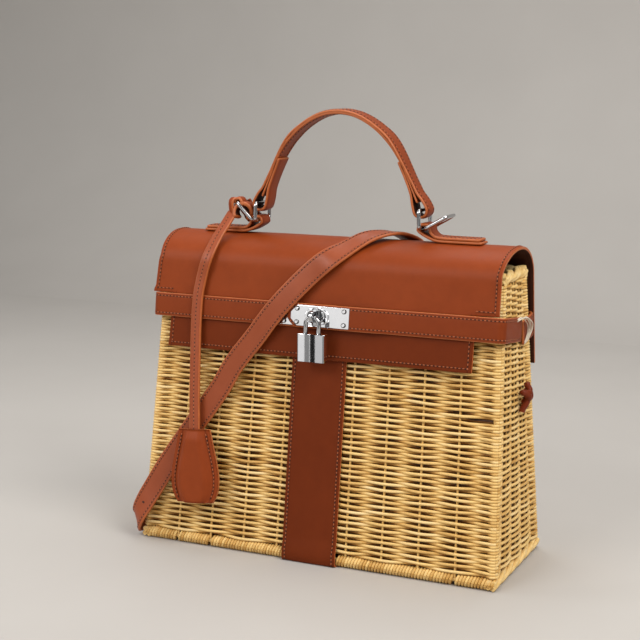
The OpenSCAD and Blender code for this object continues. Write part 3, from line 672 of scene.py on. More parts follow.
def weaveWalls(s):
    low, high = bag["border"], bag["height"] - bag["border"]
    pitch = (high - low) / s["rows"]
    front = bag["bulge"] - s["radius"]
    rowTone = 0.45 + 0.3 * rng.random(s["rows"] + 1)
    for quarter, name in enumerate(("front", "right", "back", "left")):
        long = quarter % 2 == 0
        bays = s["bays"] if long else s["sideBays"]
        depth = s["depth"] if long else s["sideDepth"]
        mid, amp = front - depth / 2, depth / 2
        lines, tones, posts = [], [], []
        for r in range(s["rows"]):
            z0 = low + (r + 0.5) * pitch
            half, deep = halves(z0, long)
            bay = 2 * (half - s["inset"]) / bays
            straight = half - s["turn"]
            along = np.linspace(-straight, straight, bays * s["perBay"] + 1)
            phase = np.cos(np.pi * along / bay + np.pi * (r % 2))
            natural = mid + amp * phase
            reach = np.clip((np.abs(along) - (straight - 5.0)) / 4.0, 0, 1)
            out = natural + (front - natural) * (reach * reach * (3 - 2 * reach))
            if name == "front" and r == s["slitRow"]:
                out = np.where(along > s["slitFrom"], front - depth - 0.6, out)
            pts = [(a, deep + o) for a, o in zip(along, out)]
            turn = []
            for q in (45, 30, 15):
                c, w = math.cos(math.radians(q)), math.sin(math.radians(q))
                reachOut = s["turn"] + front
                turn.append((straight + w * reachOut, deep - s["turn"] + c * reachOut))
            pts = [(-a, b) for a, b in turn] + pts + [(a, b) for a, b in reversed(turn)]
            line, tone = [], []
            for i, (a, b) in enumerate(pts):
                straightPart = 3 <= i < len(pts) - 3
                dz = 0.0
                if 3 < i < len(pts) - 4:
                    dz = s["wander"] * noise.noise((a * 0.045, r * 0.21, quarter * 9.1))
                if name == "front" and a > s["slitFrom"] and abs(r - s["slitRow"]) == 1 and straightPart:
                    dz += s["slitOpen"] * (r - s["slitRow"])
                line.append(onWall(quarter, a, b) + (z0 + dz,))
                # the stretches of strand that lie behind, between the stakes, are darkened: painted shade
                hidden = max(0.0, (deep + front - b) / depth) if straightPart else 0.0
                patch = s["patch"] * noise.noise((a * 0.035, r * 1.3, quarter * 5.0))
                tone.append(rowTone[r] + patch - s["shade"] * max(0.0, hidden - 0.45))
            lines.append(line)
            tones.append(tone)
            # an inner strand closes the gap behind each two rows; at the darkest tone it is painted shade
            # seen through the gaps
            across = np.linspace(-half + 6, half - 6, 12)
            behind = deep + front - depth - 1.0
            lines.append([onWall(quarter, a, behind) + (z0 + pitch / 2,) for a in across])
            tones.append([-0.1] * len(across))
        wall = tubes(name + "_weave_strands", lines, s["radius"], straw, 6, tones)
        finishPiece(wall, "bag", [name + "_weave"])
        for j in range(1, bays):
            stake = []
            for z in np.linspace(low - 3, high + 2, 24):
                half, deep = halves(z, long)
                stake.append(onWall(quarter, (2 * j / bays - 1) * (half - s["inset"]), deep + mid) + (z,))
            posts.append(stake)
        rods = tubes(name + "_stakes", posts, s["stake"], straw, 7)
        finishPiece(rods, "bag", [])
    for sx in (-1, 1):
        for sy in (-1, 1):
            name = ("front" if sy < 0 else "back") + ("_left" if sx < 0 else "_right") + "_post"
            line = []
            for z in np.linspace(low, high, 20):
                hx, hy = halves(z, True)
                line.append((sx * (hx - s["turn"]), sy * (hy - s["turn"]), z))
            post = tubes(name + "_rod", [line], s["post"], straw, 10)
            finishPiece(post, "bag", [name])


weaveWalls(weave)
print("walls woven")

# borders: the foot is wrapped along front and back and twisted along the sides, the rim is twisted
borderSettings = {
    "wrap": 2.35, "strand": 1.14, "lean": 1.1, "notch": 0.45,
    "rod": 1.95, "rods": 4, "rodCoil": 2.45, "rodPitch": 74.0,
    "ply": 1.75, "plies": 2, "plyCoil": 1.9, "plyPitch": 38.0, "plyStrands": 3, "plySpread": 1.35,
}


def twist(a, b, count, coil, pitch, phase=0.0):
    # strands twisted round the line from a to b
    a, b = np.array(a, float), np.array(b, float)
    d = b - a
    length = np.linalg.norm(d)
    d = d / length
    side = np.cross(d, (0, 0, 1.0))
    lines = []
    steps = int(length / 2.2) + 2
    for k in range(count):
        line = []
        for w in np.linspace(0, length, steps):
            q = 2 * np.pi * (w / pitch + k / count) + phase
            line.append(a + d * w + side * coil * math.cos(q) + np.array((0, 0, 1.0)) * coil * math.sin(q))
        lines.append(line)
    return lines


def bundle(line, count, spread):
    # strands that lie side by side along a line
    line = np.array(line)
    side = unitRows(np.cross(np.gradient(line, axis=0), (0, 0, 1.0)))
    out = []
    for k in range(count):
        q = 2 * np.pi * (k / count + np.arange(len(line)) / 26.0)
        out.append(line + spread * (side * np.cos(q)[:, None] + np.outer(np.sin(q), (0, 0, 1.0))))
    return out


def makeBorders(s):
    footX, footY = bag["baseW"] / 2 + bag["proud"], bag["baseD"] / 2 + bag["proud"]
    half = bag["border"] / 2
    coil = half - s["strand"]
    bayW = 2 * (bag["baseW"] / 2 - weave["inset"]) / weave["bays"]
    lines, tones = [], []
    for side in (-1, 1):
        x = -footX + 3.2
        while x < footX - 3.0:
            nearStake = abs(x / bayW - round(x / bayW)) * bayW
            underBand = side < 0 and abs(x) < bag["bandW"] / 2 - 1.2
            if (nearStake > s["notch"] or abs(x) > 130) and not underBand:
                line = []
                wide = 1.0 + 0.05 * noise.noise((x * 0.4, side, 1.0))
                for q in np.linspace(0, 2 * np.pi, 13):
                    y = side * (footY - half) + side * coil * wide * math.cos(q)
                    line.append((x + s["lean"] * math.sin(q), y, half + coil * math.sin(q)))
                lines.append(line)
                # the foot's wraps take lower tones than the rods and the rim: random tone with painted
                # shade
                tones.append([0.26 + 0.42 * rng.random()] * len(line))
            x += s["wrap"]
    wrap = tubes("foot_border_wrap", lines, s["strand"], straw, 6, tones)
    finishPiece(wrap, "bag", ["foot_border"])
    lines = []
    for side in (-1, 1):
        ends = [(side * (footX - half), y, half) for y in (-footY + 1.2, footY - 1.2)]
        lines += twist(*ends, s["rods"], s["rodCoil"], s["rodPitch"], 0.6)
        lines += [[(x, side * (footY - half), half) for x in np.linspace(-footX + 2, footX - 2, 60)]]
    tones = [0.55 + 0.25 * rng.random(len(line)) for line in lines]
    rods = tubes("foot_border_rods", lines, s["rod"], straw, 8, tones)
    finishPiece(rods, "bag", [])
    rimZ = bag["height"] - half
    rimX, rimY = (h + bag["proud"] - half for h in halves(bag["height"] - bag["border"], True))
    coiled = (s["plies"], s["plyCoil"], s["plyPitch"])
    lines = []
    for side in (-1, 1):
        plies = twist((side * rimX, -rimY - 2, rimZ), (side * rimX, rimY + 2, rimZ), *coiled, 1.2)
        plies += twist((-rimX - 3.4, side * rimY, rimZ), (rimX + 3.4, side * rimY, rimZ), *coiled, 1.0)
        for ply in plies:
            lines += bundle(ply, s["plyStrands"], s["plySpread"])
    tones = [0.6 + 0.3 * rng.random(len(line)) for line in lines]
    rim = tubes("top_rim_twist", lines, s["ply"], straw, 8, tones)
    finishPiece(rim, "bag", ["top_rim"])
    nodes["woven_floor"].data.materials.clear()
    nodes["woven_floor"].data.materials.append(straw)


makeBorders(borderSettings)
print("borders made")

# the flap: tongue and ears in front, arch over the rim, tail behind
flapSettings = {
    "seam": 3.0, "archZ": 211.0, "tailZ": 145.0, "wobble": 0.35,
    "leftCreep": [-4.5, -2.6, 1.6, 0.0, 0.0], "rightCreep": [-4.5, -4.2, -4.2, -0.2, 0.6],
}


def gridLines(edges, seams, step):
    # even lines, with close ones round each seam
    out = set()
    for a, b in zip(edges[:-1], edges[1:]):
        for v in np.linspace(a, b, max(2, int((b - a) / step) + 1)):
            if all(abs(v - q) > groove["clear"] for q in seams) or v in (a, b):
                out.add(round(float(v), 4))
    for q in seams:
        out |= {round(q + side * groove["sheetHalf"], 4) for side in (-1, 0, 1)}
    return sorted(out)


def makeFlap(s):
    out = tongueO + bag["flapT"]
    tailOut = bag["bulge"] + bag["seat"] + 0.1 + bag["beltT"] + bag["seat"] + bag["flapT"]
    rise = topZ - s["archZ"]
    hf, hb = -frontY(s["archZ"], out), -frontY(s["archZ"], tailOut)
    tongueSeam, earSeamZ = bag["tongueZ"] + s["seam"], bag["earZ"] + s["seam"]
    zs = gridLines([bag["tongueZ"], bag["earZ"], s["archZ"]], [tongueSeam, earSeamZ], 5.0)
    line = [(frontY(z, out), z) for z in zs[:-1]]
    for t in range(180, -1, -5):
        c, w = math.cos(math.radians(t)), math.sin(math.radians(t))
        line.append(((hf if t > 90 else hb) * c * (1 - 0.05 * w), s["archZ"] + rise * max(w, 0) ** 0.86))
    for z in np.linspace(s["archZ"], s["tailZ"], 12)[1:]:
        line.append((-frontY(z, tailOut), z))
    half, tongue = bag["flapW"] / 2, bag["tongueW"] / 2
    sideSeam, a = half - s["seam"], tongue - s["seam"]
    xs = gridLines([-half, -tongue, tongue, half], [-sideSeam, -a, a, sideSeam], 9.0)
    line = np.array(line)
    earRow = int(np.argmin(np.abs(line[:len(zs), 1] - bag["earZ"])))
    heights = line[:, 1]

    def keep(x, j):
        return j >= earRow or abs(x) < tongue

    def seamAt(x, j):
        if j > earRow:
            return 1.0 if abs(abs(x) - sideSeam) < 0.02 else 0.0
        onSide = abs(abs(x) - a) < 0.02
        below = abs(heights[j] - bag["tongueZ"] - s["seam"]) < 0.02
        return 1.0 if (onSide or below) and abs(x) < a + 0.1 else 0.0

    # the leather has crept sideways: by how much at the tongue's edge, ears, arch's foot, apex and tail
    rows = [0, earRow, len(zs) + 2, int(np.argmax(heights)), len(line) - 1]
    leftEnd = np.interp(np.arange(len(line)), rows, s["leftCreep"])
    rightEnd = np.interp(np.arange(len(line)), rows, s["rightCreep"])

    def shift(x, j):
        f = (x + half) / (2 * half)
        return leftEnd[j] * (1 - f) + rightEnd[j] * f

    # the tongue takes the darker copy of the leather: painted shade
    def onTongue(j):
        return j < earRow

    flap = sheetPiece("flap_leather", xs, line, keep, bag["flapT"], seamAt, s["wobble"], shift, onTongue)
    finishPiece(flap, "bag", ["flap"])
    d = unitRows(np.gradient(line, axis=0))

    def onFlap(x, j, lift=0.25):
        return (x + shift(x, j), line[j][0] - d[j][1] * lift, line[j][1] + d[j][0] * lift)

    seamRow = int(np.argmin(np.abs(heights[:earRow] - bag["tongueZ"] - s["seam"])))
    topRow = int(np.argmin(np.abs(heights[:earRow] - bag["beltZ"] - 1)))
    earSeam = earRow + int(np.argmin(np.abs(heights[earRow:len(zs)] - bag["earZ"] - s["seam"])))
    stitchRun("bag", [onFlap(x, seamRow) for x in np.linspace(-a, a, 60)])
    for side in (-1, 1):
        stitchRun("bag", [onFlap(side * a, j) for j in range(seamRow, topRow + 1)])
        stitchRun("bag", [onFlap(side * sideSeam, j) for j in range(earSeam, len(line) - 1)])
        stitchRun("bag", [onFlap(side * w, earSeam) for w in np.linspace(tongue + 1, sideSeam, 6)])


makeFlap(flapSettings)
print("flap made")

# the band down the front, turned in under the foot
bandSettings = {"seam": 2.6, "wobble": 0.15}


def makeBand(s):
    hi = bag["beltZ"] + bag["beltH"] - 3
    fy = -(bag["baseD"] / 2 + bag["proud"]) - 0.15
    t, o = bag["bandT"], bandO + bag["bandT"]
    line = [(fy + bag["border"] - 0.6, 0.1), (fy + 4.0, 0.1), (fy + 0.2, 0.12), (fy - t * 0.6, 0.5)]
    line += [(fy - t, 1.7), (fy - t, 5.0), (fy - t, bag["border"] + 0.3), (frontY(15, o), 15.3)]
    line += [(frontY(z, o), z) for z in np.linspace(20, hi, 34)]
    half = bag["bandW"] / 2
    a = half - s["seam"]
    xs = gridLines([-half, half], [-a, a], 5.0)

    def seamAt(x, j):
        return 1.0 if abs(abs(x) - a) < 0.02 else 0.0

    def whole(*cell):
        return True

    # the whole band takes the darker copy of the leather: painted shade
    band = sheetPiece("front_band_leather", xs, line, whole, t, seamAt, s["wobble"], deep=whole)
    finishPiece(band, "bag", ["front_band"])
    line = np.array(line)
    d = unitRows(np.gradient(line, axis=0))
    lift = 0.2
    rows = range(4, len(line) - 6)
    for side in (-1, 1):
        stitchRun(
            "bag", [(side * a, line[j][0] - d[j][1] * lift, line[j][1] + d[j][0] * lift) for j in rows],
        )


makeBand(bandSettings)

# two belts meet at the lock in front, one lies behind
beltSettings = {
    "seam": 2.3, "tip": -24.0, "leftEnd": 13.0, "point": 5.6, "pointShare": 0.38, "backLower": 5.0,
}


def makeBelts(s):
    t = bag["beltT"]
    mid = bag["beltZ"] / math.cos(tilt) + bag["beltH"] / 2
    end = -frontY(bag["beltZ"]) + 2

    def along(points, step, name, node, front=True, shares=None, sewTo=4.0, lower=0.0):
        p = np.array(smoothLine([(x, y, 0) for x, y in points], step))
        d = unitRows(np.gradient(p, axis=0))
        n = np.stack([d[:, 1], -d[:, 0], np.zeros(len(p))], 1)
        if n[len(n) // 2][1] > 0:
            n = -n
        p = p + n * t / 2
        q = np.array([onFront(a, b, mid - lower) for a, b, _ in p])
        m = np.array([(a, b * math.cos(tilt), -b * math.sin(tilt)) for a, b, _ in n])
        if not front:
            q, m = q * (-1, -1, 1), m * (-1, -1, 1)
        width = None if shares is None else shares(p)
        mats = [shadedBeltLeather, edgePaint]
        belt = strap(name, q, m, bag["beltH"], t, 0.12, s["seam"], shares=width, sewTo=sewTo, mats=mats)
        finishPiece(belt, "bag", [node])

    def corner(sign, o, start, first):
        # from the side's end round the corner of the wall
        line = [(sideX, start), (sideX, start - first), (sideX, -o + 6), (sideX, -o + 2.4)]
        line += [(sideX - 0.7, -o + 0.7), (sideX - 2.4, -o), (sideX - 8, -o)]
        return [(sign * x, y) for x, y in line]

    def tipShare(p):
        least = s["pointShare"]
        return np.clip((p[:, 0] - s["tip"]) / s["point"], 0, 1) * (1 - least) + least

    left = [(x, -beltO) for x in (-100, -60, -20, s["leftEnd"])]
    along(corner(-1, beltO, end, 10) + left, 1.6, "left_belt_leather", "left_belt")
    right = [
        (100, -beltO), (70, -beltO), (60, -beltO), (54, -beltO - 0.35), (47, -(beltO + rightBeltO) / 2),
    ]
    right += [(40, -rightBeltO + 0.35), (34, -rightBeltO), (10, -rightBeltO), (s["tip"], -rightBeltO)]
    right = corner(1, beltO, end, 10) + right
    along(right, 1.6, "right_belt_leather", "right_belt", shares=tipShare, sewTo=1.0)
    o = bag["bulge"] + bag["seat"] + 0.1
    side = corner(1, o, end - 10, 8)
    behind = side + [(60, -o), (0, -o), (-60, -o)] + [(-x, y) for x, y in reversed(side)]
    along(behind, 1.8, "back_belt_leather", "back_belt", front=False, lower=s["backLower"])


makeBelts(beltSettings)
print("belts made")

# the handle: an outer strap that folds round the rings, and an inner strap under it
handleSettings = {
    "width": 15.0, "rise": 68.5, "fold": 1.7, "lower": 1.4, "loop": 4.1, "tail": 38.0, "narrow": 20.0,
    "flare": 26.0, "broad": 1.27, "seam": 2.6,
}


def archShare(p, s):
    # narrow in the rings, broad over the hand
    rise = np.clip((np.array(p)[:, 2] - handleBarZ - s["narrow"]) / s["flare"], 0, 1)
    return 1 + (s["broad"] - 1) * rise * rise * (3 - 2 * rise)


def archNormals(p, up=1, at=None):
    # normals in the plane of the handle; up says which way the one at the given point looks
    t = unitRows(np.gradient(p, axis=0))
    n = np.stack([t[:, 2], np.zeros(len(p)), -t[:, 0]], 1)
    return n if n[len(p) // 2 if at is None else at][2] * up >= 0 else -n


def mirrored(line):
    return [np.array((-q[0], q[1])) for q in reversed(line)]


def makeHandle(s):
    shape = [(0.964, 0.09), (0.89, 0.27), (0.78, 0.475), (0.645, 0.67), (0.46, 0.84), (0.235, 0.96), (0, 1)]
    half = [np.array((a * ringX, handleBarZ + b * s["rise"])) for a, b in shape]
    b = np.array((ringX, handleBarZ))
    d = (half[2] - b) / np.linalg.norm(half[2] - b)
    n = np.array((d[1], -d[0]))
    c = b - 0.8 * n
    ro = s["loop"] + s["fold"] / 2
    tail = [(s["tail"], 2.4), (30, 2.4), (20, 2.5), (12.5, 3.1), (6.5, 4.7)]
    right = [b + up * d - off * n for up, off in tail]
    start = math.atan2(-n[1], -n[0])
    for k in range(7):
        q = start + math.pi * k / 6
        right.append(c + ro * np.array((math.cos(q), math.sin(q))))
    right += [b + up * d + off * n for up, off in ((6.5, 3.3), (12.5, 1.6), (20, 1.0))]
    arch = np.array(half[3:] + mirrored(half[3:-1]))
    flat = unitRows(np.gradient(arch, axis=0))
    outward = np.stack([flat[:, 1], -flat[:, 0]], 1)
    if outward[len(arch) // 2][1] < 0:
        outward = -outward
    body = "handle_grip"

    def layer(name, line, step, up, width, thick, replaced=(), **finish):
        p = smoothLine([(x, 0, z) for x, z in line], step)
        piece = strap(
            name, p, archNormals(p, up), width, thick, body=body, shares=archShare(p, s), **finish,
        )
        finishPiece(piece, body, replaced)

    over = right + [p + 0.85 * q for p, q in zip(arch, outward)] + mirrored(right)
    # the outer strap's back takes the dark lining: painted shade inside the fold
    finish = {"crown": 0.5, "seam": s["seam"], "r": 0.6, "mats": [leather, edgePaint, liningAndShade], "back": 2}
    layer("handle_outer", over, 1.8, 1, s["width"], s["fold"], ["handle"], sewFrom=52, sewTo=52, **finish)
    leg = [b + up * d - 0.7 * n for up in (5.8, 18, 26)] + [half[2] - 0.7 * n]
    under = leg + [q - 0.7 * w for q, w in zip(arch, outward)] + mirrored(leg)
    finish = {"crown": 0.15, "seam": s["seam"], "r": 0.5, "sewFrom": 22, "sewTo": 22}
    layer("handle_inner", under, 2.2, -1, s["width"] - 0.3, s["lower"], **finish)
    # paint fills the joint between the two straps' edges
    finish = {"crown": 0.0, "seam": 0, "r": 0.3, "mats": [edgePaint, edgePaint]}
    layer("handle_edge_fill", arch, 2.2, 1, s["width"] - 0.2, 1.0, **finish)


makeHandle(handleSettings)

# each tab runs up under its ring, over both bars and back down
tabSettings = {"width": 14.0, "thick": 2.0, "seam": 2.2}


def makeTab(s, side):
    hx, zt = tabX, topZ + bag["seat"]
    rr = ringSettings["wire"] / 2 + bag["play"] / 2 + s["thick"] / 2
    line = [
        (ringX + 46, zt + 1.0), (ringX + 30, zt + 1.0), (ringX + 16, zt + 1.1), (ringX + 9.5, zt + 1.9),
        (ringX + 3.4, zt + 4.4), (hx - rr + 0.1, barZ - 2.0),
    ]
    for q in (180, 140, 100, 80, 40, 0):
        centre = hx if q > 90 else strapBarX
        line.append((centre + rr * math.cos(math.radians(q)), barZ + rr * math.sin(math.radians(q))))
    line += [
        (strapBarX + rr + 0.6, barZ - 2.6), (strapBarX + 6.4, zt + 4.2), (ringX + 16, zt + 3.25),
        (ringX + 30, zt + 3.1), (ringX + 44.5, zt + 3.1),
    ]
    p = smoothLine([(side * x, 0, z) for x, z in line], 1.4)
    n = archNormals(p, 1, -1)
    name = "left_tab" if side < 0 else "right_tab"
    tab = strap(
        name + "_leather", p, n, s["width"], s["thick"], 0.15, s["seam"], 0.5, sewFrom=75, sewTo=2.5,
    )
    finishPiece(tab, "bag", [name])


for side in (-1, 1):
    makeTab(tabSettings, side)
print("handle and tabs made")

# shoulder strap, lying over the bag as it was laid
strapSettings = {
    "width": 16.5, "thick": 2.2, "seam": 2.1, "hole": (-138.4, -56.5, 29.5), "holeRadius": 1.15,
}


def makeShoulderStrap(s):
    d, footX, footY = bag["baseD"], bag["baseW"] / 2 + bag["proud"], bag["baseD"] / 2 + bag["proud"]

    def backPoint(x, z, out):
        return (x, -frontY(z, out), z)

    back, left = (0, math.cos(tilt), math.sin(tilt)), (-1, 0, 0)
    points = [
        (-70, d + 2, 1.4), (-30, d + 1, 1.4), (5, d - 5, 1.6), (30, d - 16, 3.4), (43, d - 27, 9),
        (49, d - 36, 20), backPoint(51.5, 46, 13), backPoint(53, 96, 10.5), backPoint(53.6, 146, 8.6),
        backPoint(53.6, 186, 6.9), backPoint(53, 206, 8.2), backPoint(52.4, 217, 7.2),
    ]
    points += [
        (51.5, 29.6, topZ - 9.6), (48, 17, topZ - 0.7), (42, 5.5, topZ + 4), (34.5, -5.5, topZ + 4.8),
        (26, -15, topZ + 2.2), (16, -24.4, topZ - 4.6),
    ]
    points += [
        frontPoint(5, 222.5, 8.6), frontPoint(-7.4, 212, 9.4), frontPoint(-22.8, 196, 11.3),
        frontPoint(-32.1, 185.5, 11.7), frontPoint(-40.7, 174.6, 11.2), frontPoint(-49.7, 162.6, 9.8),
        frontPoint(-66.4, 141.6, 8.0), frontPoint(-78.5, 121.1, 6.9), frontPoint(-99, 92, 5.8),
        frontPoint(-119.2, 62.6, 4.8), frontPoint(-131.2, 42.5, 4.8), frontPoint(-138.4, 29.5, 6.2),
    ]
    points += [
        (-footX - 1.0, -footY - 2.3, 18.4), (-footX - 3.6, -footY + 2.4, 12.2),
        (-footX - 4.4, -footY + 11, 9.8), (-footX - 3.6, -footY + 27, 9.1), (-footX - 3, 0, 9),
        (-footX - 3, footY - 14, 9),
    ]
    facing = [
        (0, 0, 1), (0, 0, 1), (0, 0.1, 1), (0, 0.25, 0.97), (0, 0.6, 0.8), (0, 0.9, 0.43), back, back, back,
        back, (0, 0.96, 0.28), (0, 0.9, 0.43),
    ]
    facing += [
        (0, 0.78, 0.62), (0, 0.39, 0.92), (0, 0.12, 0.99), (0, -0.15, 0.99), (0, -0.42, 0.91),
        (0, -0.63, 0.78),
    ]
    facing += [(0, -0.93, 0.36)] + [faceOut] * 10 + [
        (-0.15, -0.98, 0.1), (-0.5, -0.86, 0), (-0.8, -0.6, 0), (-0.96, -0.28, 0), left, left, left,
    ]
    p, n = smoothLine(points, 2.6, facing)
    mats = [strapLeather, edgePaint]
    band = strap("shoulder_strap_leather", p, n, s["width"], s["thick"], 0.2, s["seam"], 0.6, mats=mats)
    finishPiece(band, "bag", ["shoulder_strap"])
    # one punched hole near the corner of the foot, drawn as a dark disc: painted shade
    at = int(np.argmin(np.linalg.norm(p - np.array(s["hole"]), axis=1)))
    lift = unitRows(np.array(n, float))[at]
    hole = tubes(
        "strap_hole", [[p[at] + lift * k for k in (0.9, 1.2, 1.36)]], s["holeRadius"], holeShade, 14,
    )
    finishPiece(hole, "bag")


makeShoulderStrap(strapSettings)
print("shoulder strap made")

# the key bell: two pieces sewn down both sides, open below
bellSettings = {
    "width": 40.0, "height": 55.0, "thick": 11.4, "flange": 4.4, "edge": 1.55, "swell": 5.5, "turn": -4,
}


def makeBell(s):
    outline = [
        (0.64, 0.0), (0.72, 0.13), (0.80, 0.27), (0.88, 0.39), (0.94, 0.5), (0.985, 0.6), (1.0, 0.68),
        (0.99, 0.77), (0.95, 0.85), (0.86, 0.93), (0.74, 1.0),
    ]
    rim = np.array([0.74, 0.80, 0.87, 0.965, 1.0])
    us = np.concatenate([-rim[::-1], np.linspace(-0.66, 0.66, 11), rim])
    ys = np.array([b for a, b in outline])
    dense = np.linspace(0, 1, 29)
    wide = np.interp(dense, ys, [a for a, b in outline]) * s["width"] / 2
    turn = Matrix.Rotation(-tilt, 4, "X") @ Matrix.Rotation(math.radians(s["turn"]), 4, "Y")
    place = Matrix.Translation(Vector(frontPoint(-94.3, 91, 12.8))) @ turn
    seamIn = s["flange"] * 0.75
    sides = {}
    verts, seams, faces, mats = [], [], [], []
    for sign in (-1, 1):
        grid = []
        for k, v in enumerate(dense):
            row = []
            neck = min(1.0, 0.35 + v * 5.0)
            mouth = 1 - 0.06 * (v > 0.96)
            for u in us:
                x = u * wide[k]
                fromEdge = wide[k] - abs(x)
                lift = min(max((fromEdge - s["flange"]) / s["swell"], 0.0), 1.0)
                lift = lift * lift * (3 - 2 * lift)
                rounded = 0.3 if abs(u) > 0.99 else 0.0
                sunk = 0.25 * (abs(fromEdge - seamIn) < 0.9)
                y = s["edge"] - rounded - sunk + lift * (s["thick"] / 2 - s["edge"]) * neck * mouth
                row.append(len(verts))
                verts.append(tuple(place @ Vector((x, sign * y, -v * s["height"]))))
                seams.append(1.0 if abs(fromEdge - seamIn) < 0.6 else 0.0)
            grid.append(row)
        sides[sign] = grid
        for k in range(len(dense) - 1):
            for i in range(len(us) - 1):
                q = (grid[k][i], grid[k][i + 1], grid[k + 1][i + 1], grid[k + 1][i])
                faces.append(q if sign > 0 else q[::-1])
                mats.append(0)
    f, b = sides[-1], sides[1]
    for k in range(len(dense) - 1):
        faces.append((f[k][0], f[k + 1][0], b[k + 1][0], b[k][0]))
        faces.append((f[k + 1][-1], f[k][-1], b[k][-1], b[k + 1][-1]))
        mats += [1, 1]
    for i in range(len(us) - 1):
        faces.append((f[0][i + 1], f[0][i], b[0][i], b[0][i + 1]))
        mats.append(1)
    # the mouth: a painted lip, then a pocket in the dark lining: painted shade
    last = len(dense) - 1
    inner = {}

    def pocketRow(sign, share, least, wall, pinch, z):
        row = []
        for u in us:
            y = sign * max(least, s["thick"] / 2 - wall - pinch * abs(u) ** 3)
            row.append(len(verts))
            verts.append(tuple(place @ Vector((u * wide[last] * share, y, z))))
            seams.append(0.0)
        return row

    for sign, grid in sides.items():
        rowA = pocketRow(sign, 0.78, 0.25, 2.0, 3.2, -s["height"] + 0.1)
        rowB = pocketRow(sign, 0.74, 0.2, 2.2, 3.0, -s["height"] * 0.55)
        inner[sign] = (rowA, rowB)
        for i in range(len(us) - 1):
            lip = (grid[last][i], grid[last][i + 1], rowA[i + 1], rowA[i])
            pocket = (rowA[i], rowA[i + 1], rowB[i + 1], rowB[i])
            faces.append(lip if sign > 0 else lip[::-1])
            faces.append(pocket if sign > 0 else pocket[::-1])
            mats += [1, 2]
    for i in range(len(us) - 1):
        faces.append((inner[-1][1][i], inner[-1][1][i + 1], inner[1][1][i + 1], inner[1][1][i]))
        mats.append(2)
    for end in (0, len(us) - 1):
        faces.append((sides[-1][last][end], inner[-1][0][end], inner[1][0][end], sides[1][last][end]))
        faces.append((inner[-1][0][end], inner[-1][1][end], inner[1][1][end], inner[1][0][end]))
        mats += [1, 2]
    bell = newPiece("key_bell_leather", verts, faces, [leather, edgePaint, liningAndShade], mats, {"seam": seams})
    bell.data.validate()
    finishPiece(bell, "bag", ["key_bell"])
    for side in (-1, 1):
        run = []
        for k in range(2, len(dense) - 2):
            run.append(tuple(place @ Vector((side * (wide[k] - seamIn), -1.75, -dense[k] * s["height"]))))
        stitchRun("bag", run)
    return bell


bell = makeBell(bellSettings)
tuple(float(c) * 0.001 for c in lacePath[0])
laceLength * 0.001
[tuple(float(c) * 0.001 for c in p) for p in lacePath]
print("bell made")

# the lace's knot round the ring
knotSettings = {"strip": 6.4, "thick": 2.0, "pressed": 1.25, "barTurn": 2.9, "loop": 5.7, "end": 12.0}


def makeLaceKnot(s):
    # a turn round the bar, a loop through the ring, and the bight that the lace hangs from
    bar = np.array((-knotX, -4.6, knotZ))
    heart = np.array((-knotX + 3.8, -4.2, knotZ - 6.6))

    def turn(name, centre, radius, start, end, rise, width, thick, replaced=()):
        q = np.radians(np.linspace(start, end, 40))
        out = np.stack([np.cos(q), np.zeros(len(q)), np.sin(q)], 1)
        p = centre + radius * out + np.outer(rise * (q - q.mean()), (0.0, 1.0, 0.0))
        # the inside of each turn takes the dark lining: painted shade
        mats = [leather, edgePaint, liningAndShade]
        finishPiece(strap(name, p, out, width, thick, 0.5, 0, 0.7, mats=mats, back=2), "bag", replaced)

    wide = s["strip"] * s["pressed"]
    turn("lace_knot_turn", bar, s["barTurn"], -160, 196, 0.15, wide, s["thick"], ["lace_knot"])
    turn("lace_knot_loop", heart, s["loop"], -75, 232, -1.75, wide, s["thick"] * 1.35)
    # the lace's end, pulled through behind the ring, closes the loop's hollow; its face is the dark lining:
    # painted shade
    slope = np.array((0.6, 0.0, -0.8))
    core = [
        heart + slope * w + np.array((0.0, 7.0 + 0.6 * math.cos(w), 0.0))
        for w in np.linspace(-7.0, 7.0, 9)
    ]
    back = [(0, -1, 0)] * len(core)
    end = strap("lace_knot_end", core, back, s["end"], s["thick"], 0.5, 0, 0.6, mats=[liningAndShade, leather])
    finishPiece(end, "bag")
    bight = [
        (4.6, -8.6, -8.6), (4.9, -9.4, -4.0), (4.9, -9.4, 0.6), (4.0, -7.6, 2.6), (2.6, -4.6, 1.2),
        (0.8, -2.2, -3.6),
    ]
    p = smoothLine([(-knotX - left, y, knotZ + up) for left, y, up in bight], 0.8)
    centre = np.array((-knotX - 2.2, -4.6, knotZ - 5.0))
    bend = strap("lace_knot_bight", p, p - centre, s["strip"] * 0.8, s["thick"], 0.4, 0, 0.6)
    finishPiece(bend, "bag")


makeLaceKnot(knotSettings)

# a knotted thong in each side: how high, how far out, and each tail's y, z and distance from the wall
sideKnotSettings = {
    "height": 0.585, "y": 6.5, "out": 5.0, "radius": 2.35, "tails": ((4.6, 7.6, 4.4), (-3.2, -12.0, 3.4)),
}


def makeSideKnot(s, side):
    z = bag["height"] * s["height"]
    x = bag["baseW"] / 2 - leanX * z + bag["bulge"] - 0.3
    y = s["y"]
    turns = []
    for q in np.linspace(0, 2 * math.pi, 48):
        out = x + s["out"] + 2.0 * math.cos(3 * q)
        across = y + 4.0 * math.sin(q) + 2.0 * math.sin(2 * q)
        turns.append((side * out, across, z + 3.6 * math.cos(q) - 1.8 * math.cos(2 * q)))
    lines = [turns]
    for dy, dz, out in s["tails"]:
        tail = [(s["out"], 0.0, 0.0), (out + 2.0, 0.35, 0.4), (out, 0.75, 0.75), (out - 1.0, 1.0, 1.0)]
        lines.append(smoothLine([(side * (x + o), y + dy * a, z + dz * b) for o, a, b in tail], 0.8))
    name = "left_knot" if side < 0 else "right_knot"
    finishPiece(tubes(name + "_thong", lines, s["radius"], thong, 10), "bag", [name])


